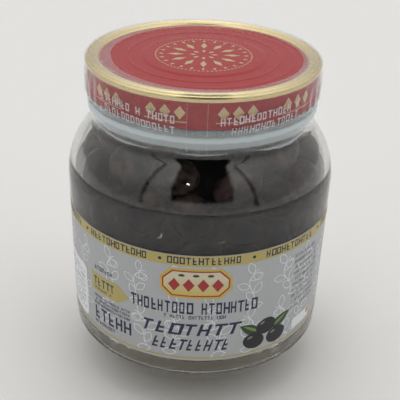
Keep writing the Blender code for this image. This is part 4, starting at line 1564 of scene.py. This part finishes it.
# Width, height, cut corner, layer and ink of the plaque's edge, line and field
plaque_parts = []
for width, height, corner, layer, ink in (
        (0.0340, 0.0165, 0.0050, 2, yellow_ink), (0.0318, 0.0143, 0.0046, 3, red_ink),
        (0.0304, 0.0129, 0.0043, 4, cream_ink)):
    plaque_parts.append(flat_mesh([clipped(0.0, PLAQUE_MIDDLE, width, height, corner)], layer, ink))
reds = [lozenge(x, PLAQUE_MIDDLE - 0.0008, 0.0056, 0.0072) for x in (-0.0102, -0.0034, 0.0034, 0.0102)]
greens = [oval(x, PLAQUE_MIDDLE + 0.0046, 0.0030, 0.0014) for x in (-0.0068, 0.0, 0.0068)]
plaque_parts += [flat_mesh(reds, 5, red_ink), flat_mesh(greens, 5, green_ink)]
label_plaque = label_piece("label_plaque", plaque_parts)

# %% Three printed olives and two leaves
black_ink = opaque("black_ink", "#121014")
shine_ink = opaque("shine_ink", "#7E7A82", 0.4)
light_green_ink = opaque("light_green_ink", "#6F8B4E")
leaves = [leaf(0.0330, 0.0440, 0.0125, 0.0058, 150.0), leaf(0.0400, 0.0440, 0.0135, 0.0060, 28.0)]
lights = [leaf(0.0330, 0.0446, 0.0105, 0.0016, 150.0), leaf(0.0402, 0.0446, 0.0110, 0.0017, 28.0)]
shines = [oval(x, z, 0.0030, 0.0013, turn)
          for x, z, turn in ((0.0345, 0.0492, 25.0), (0.0280, 0.0420, 15.0), (0.0412, 0.0416, 20.0))]
label_fruit = label_piece("label_printed_olives", [
    flat_mesh(leaves, 2, green_ink),
    flat_mesh(lights, 3, light_green_ink),
    flat_mesh([oval(0.0368, 0.0468, 0.0115, 0.0092, 12.0)], 4, black_ink),
    flat_mesh([oval(0.0302, 0.0396, 0.0118, 0.0094, -14.0)], 5, black_ink),
    flat_mesh([oval(0.0434, 0.0392, 0.0118, 0.0094, 10.0)], 6, black_ink),
    flat_mesh(shines, 7, shine_ink)])

# %% Rows of marks that stand for the words
grey_ink = opaque("grey_ink", "#7C818C")

# Left, low, length, height, pitch, width, slant, gaps and seed of each large row
rows = []
for left, low, length, height, pitch, width, slant, gaps, seed in (
        (-0.0320, 0.0594, 0.064, 0.0066, 0.0035, 0.0029, 0.0, 0.08, 1),
        (-0.0150, 0.0564, 0.030, 0.0020, 0.0015, 0.0012, 0.0, 0.12, 2),
        (-0.0270, 0.0466, 0.050, 0.0068, 0.0070, 0.0058, 0.3, 0.0, 3),
        (-0.0215, 0.0374, 0.039, 0.0066, 0.0043, 0.0036, 0.3, 0.0, 4),
        (-0.0575, 0.0392, 0.026, 0.0074, 0.0052, 0.0042, 0.0, 0.0, 5),
        (-0.0575, 0.0360, 0.016, 0.0020, 0.0017, 0.0013, 0.0, 0.12, 6),
        (-0.0560, 0.0692, 0.014, 0.0024, 0.0019, 0.0015, 0.0, 0.12, 7),
        (-0.0572, 0.0598, 0.018, 0.0048, 0.0031, 0.0025, 0.0, 0.05, 8),
        (-0.0572, 0.0572, 0.014, 0.0016, 0.0013, 0.0010, 0.0, 0.12, 9)):
    rows.append(row_of_marks(left, low, 2, Length=length, Height=height, Pitch=pitch, Width=width,
                             Slant=slant, Gaps=gaps, Seed=seed))

# Words and dots take turns along the gold band
WORDS_ROUND_BAND = 9
band_pitch = 2.0 * edge / WORDS_ROUND_BAND
for number in range(WORDS_ROUND_BAND):
    left = -edge + 0.0085 + number * band_pitch
    rows.append(row_of_marks(left, 0.0875, 2, Length=band_pitch - 0.0075, Height=0.0038,
                             Pitch=0.0029, Width=0.0024, Gaps=0.06, Seed=20 + number))
dots = [oval(-edge + 0.0050 + number * band_pitch, 0.0894, 0.0017, 0.0017, points=12)
        for number in range(WORDS_ROUND_BAND)]
rows.append(flat_mesh(dots, 2, navy_ink))

# Count, left, low, rise, length, height, pitch, width, first seed and ink of each block
for count, left, low, rise, length, height, pitch, width, seed, ink in (
        (3, -0.0575, 0.0478, 0.0023, 0.025, 0.0015, 0.0013, 0.0010, 10, navy_ink),
        (10, 0.0525, 0.0500, 0.0034, 0.021, 0.0016, 0.0015, 0.0011, 40, grey_ink),
        (8, -0.0910, 0.0378, 0.0031, 0.024, 0.0015, 0.0015, 0.0011, 60, grey_ink),
        (11, 0.1050, 0.0378, 0.0034, 0.070, 0.0015, 0.0016, 0.0012, 80, grey_ink)):
    for number in range(count):
        rows.append(row_of_marks(left, low + rise * number, 2, Length=length, Height=height, Pitch=pitch,
                                 Width=width, Seed=seed + number, Ink=ink))
label_words = label_piece("label_rows_of_marks", rows)

# %% [markdown]
# ## Dried drops
# Brine that ran down the outside has dried on the glass between label and shoulder, and
# its rims show as thin pale curves. They are printed shapes like the rest: bent strips at
# places that are picked by chance.

# %% Dried drops on the glass
DRIED_DROPS = 26
DRIED_WIDTH = 0.00024
DRIED_LOW = 0.0978
DRIED_HIGH = 0.1035
dried_salt = opaque("dried_salt_on_glass", "#B4B8BA", 0.7)


def outer_glass_radius(angle, height):
    """Outer radius of the glass, on the wall and on the lower shoulder."""
    rise = max(0.0, height - SHOULDER_HEIGHT)
    return body_radius(height) - SHOULDER_ROUND + math.sqrt(SHOULDER_ROUND ** 2 - rise ** 2)


draw = random.Random(31)
rims = []
for _ in range(DRIED_DROPS):
    middle = (math.pi * BODY_RADIUS * draw.uniform(-1.0, 1.0), draw.uniform(DRIED_LOW, DRIED_HIGH))
    bend = draw.uniform(0.0018, 0.0040)
    start = draw.uniform(0.0, 360.0)
    stop = start + draw.uniform(40.0, 100.0)
    rims.append(arc(middle, bend, start, stop, 8) + arc(middle, bend - DRIED_WIDTH, stop, start, 8))
drop_rims = rolled(flat_mesh(rims, 0, dried_salt), outer_glass_radius, BODY_RADIUS)
dried_drops = piece_from("dried_drops_on_the_glass", [drop_rims])
show_size(dried_drops)

# %% [markdown]
# ## Fitting the looks to the CAD model
# Every piece rides on the part's one body. A dressed piece that takes the place of a CAD
# solid hides that solid.

# %% Ride and replace
for piece, slot, node in (
        (jar, "glass", "jar_glass"), (heap, "olive_skin", "olives"), (core, "olive_skin", "olives"),
        (lid, "lid_tinplate", "lid"), (film_band, "shrink_film", "shrink_band"),
        (label, "label_paper", "label")):
    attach(piece, "root")
    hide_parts(node)
for piece in (brine, painted_heel_light, lid_rosette, skirt_print, film_print, label_scrolls, label_areas,
              label_plaque, label_fruit, label_words, dried_drops):
    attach(piece, "root")

# %% [markdown]
# ## Floor, light and camera
# The photograph was taken in a white tent, open towards the camera and lit from above.
# The world is that tent: soft white all round, brightest overhead and dimmer towards
# the floor, with a dark opening in front that the glass shoulder mirrors. Two dark seams
# run down beside the opening, and one small lamp in it gives the spot on the shoulder.

# %% Floor
FLOOR_HALF = 3.0
floor_paint = opaque("pale_floor_paint", "#EDEDEC", 0.6)
corners = [(x * FLOOR_HALF, y * FLOOR_HALF, 0.0) for x, y in ((-1, -1), (1, -1), (1, 1), (-1, 1))]
floor = mesh_object("floor", corners, [[0, 1, 2, 3]], [floor_paint])
print("floor laid at height 0")

# %% The white tent as the world
TENT_LIGHT = ((12.0, 0.58), (80.0, 2.2), (40.0, 1.00), (68.0, 1.35))
OPENING_LIGHT = 0.02
OPENING_SIDEWAYS = 0.04
OPENING_WIDTH = (0.43, 0.22)
SEAM_BEARING = 48.0
SEAM_HALF = 1.2
SEAM_DARKNESS = 0.8
LAMP_WAY = (-0.151, -0.775, 0.613)
LAMP_HALF_ANGLE = 1.8
LAMP_LIGHT = 16.0


def rising(angle, low, high):
    """Soft steps from 0 to 1 between two angles in degrees."""
    return mapped(tree, angle, (math.radians(low), math.radians(high)), kind="SMOOTHSTEP")


world = bpy.data.worlds.new("white_tent")
bpy.context.scene.world = world
world.use_nodes = True
tree = world.node_tree
tree.nodes.clear()
end = add(tree, "ShaderNodeOutputWorld")
coords = add(tree, "ShaderNodeTexCoord")
way = add(tree, "ShaderNodeSeparateXYZ", {0: coords.outputs["Generated"]})
front = reckon(tree, "MULTIPLY", way.outputs[1], -1.0)
bearing = reckon(tree, "ARCTAN2", way, front)
rise = reckon(tree, "ARCSINE", way.outputs[2])

# The opening narrows upwards, and is bounded at both sides, below and above
off_side = reckon(tree, "ABSOLUTE", reckon(tree, "SUBTRACT", way, OPENING_SIDEWAYS))
half_open = mapped(tree, rise, (math.radians(28.0), math.radians(72.0)), OPENING_WIDTH)
inside_width = reckon(tree, "SUBTRACT", half_open, off_side)
opening = reckon(tree, "MULTIPLY", mapped(tree, inside_width, (-0.02, 0.03), kind="SMOOTHSTEP"),
                 mapped(tree, front, (0.0, 0.05), kind="SMOOTHSTEP"))
opening = reckon(tree, "MULTIPLY", opening,
                 reckon(tree, "MULTIPLY", rising(rise, 8.0, 14.0), rising(rise, 86.0, 80.0)))
to_seam = reckon(tree, "SUBTRACT", reckon(tree, "ABSOLUTE", bearing), math.radians(SEAM_BEARING))
seam_span = (math.radians(SEAM_HALF + 1.4), math.radians(SEAM_HALF))
seam = mapped(tree, reckon(tree, "ABSOLUTE", to_seam), seam_span, (0.0, SEAM_DARKNESS), "SMOOTHSTEP")
dark = reckon(tree, "MAXIMUM", opening, seam)

# The tent grows brighter from the horizon to the top
height_light = add(tree, "ShaderNodeValToRGB", {"Fac": way.outputs[2]})
stops = height_light.color_ramp.elements
for stop, (degrees, level) in zip(stops, TENT_LIGHT):
    stop.position = math.sin(math.radians(degrees))
    stop.color = (level, level, level, 1.0)
for degrees, level in TENT_LIGHT[2:]:
    stops.new(math.sin(math.radians(degrees))).color = (level, level, level, 1.0)
light = add(tree, "ShaderNodeMix", {0: dark, 2: height_light.outputs["Color"], 3: OPENING_LIGHT})

# One small lamp shines in the opening, and the shoulder mirrors it as a white spot
to_lamp = add(tree, "ShaderNodeVectorMath", {0: coords.outputs["Generated"], 1: LAMP_WAY},
              operation="DOT_PRODUCT")
lamp_edge = [math.cos(math.radians(LAMP_HALF_ANGLE + soft)) for soft in (0.4, 0.0)]
in_lamp = mapped(tree, to_lamp.outputs["Value"], lamp_edge, (0.0, LAMP_LIGHT))
glow = add(tree, "ShaderNodeBackground", {
    "Color": linear("#FFFEFC"), "Strength": reckon(tree, "ADD", light, in_lamp)})
link(tree, glow, end.inputs["Surface"])
print("tent of", TENT_LIGHT[2][1], "at the sides, with an opening in front")

# %% Camera at the photograph's angle
CAMERA_PLACE = (0.00053, -0.3673, 0.2878)
CAMERA_AIM = (0.00053, 0.0, 0.0842)
CAMERA_ROLL = 1.93
CAMERA_LENS = 71.3
CAMERA_SENSOR = 36.0
view = bpy.data.cameras.new("camera")
view.sensor_width = CAMERA_SENSOR
view.lens = CAMERA_LENS
camera = bpy.data.objects.new("camera", view)
bpy.context.scene.collection.objects.link(camera)
camera.location = CAMERA_PLACE
sight = Vector(CAMERA_AIM) - Vector(CAMERA_PLACE)
aim = sight.to_track_quat("-Z", "Y")
camera.rotation_mode = "QUATERNION"
camera.rotation_quaternion = aim @ Quaternion((0.0, 0.0, 1.0), math.radians(CAMERA_ROLL))
bpy.context.scene.camera = camera
looking_down = math.degrees(math.asin(-sight.z / sight.length))
print("camera", CAMERA_LENS, "mm, looking down", round(looking_down), "degrees")

# %% Colour handling and light paths
scene = bpy.context.scene
scene.view_settings.view_transform = "Standard"
scene.view_settings.look = "None"
scene.cycles.use_denoising = True
# Glass mirrors a few rays at random, so the denoiser isn't guided by the way surfaces face
scene.cycles.denoising_input_passes = "RGB_ALBEDO"
scene.cycles.max_bounces = 24
scene.cycles.transmission_bounces = 20
scene.cycles.transparent_max_bounces = 24
scene.cycles.glossy_bounces = 8
scene.cycles.diffuse_bounces = 5
scene.cycles.volume_bounces = 6
scene.cycles.caustics_refractive = True
scene.cycles.caustics_reflective = False
print("light may bounce", scene.cycles.max_bounces, "times")
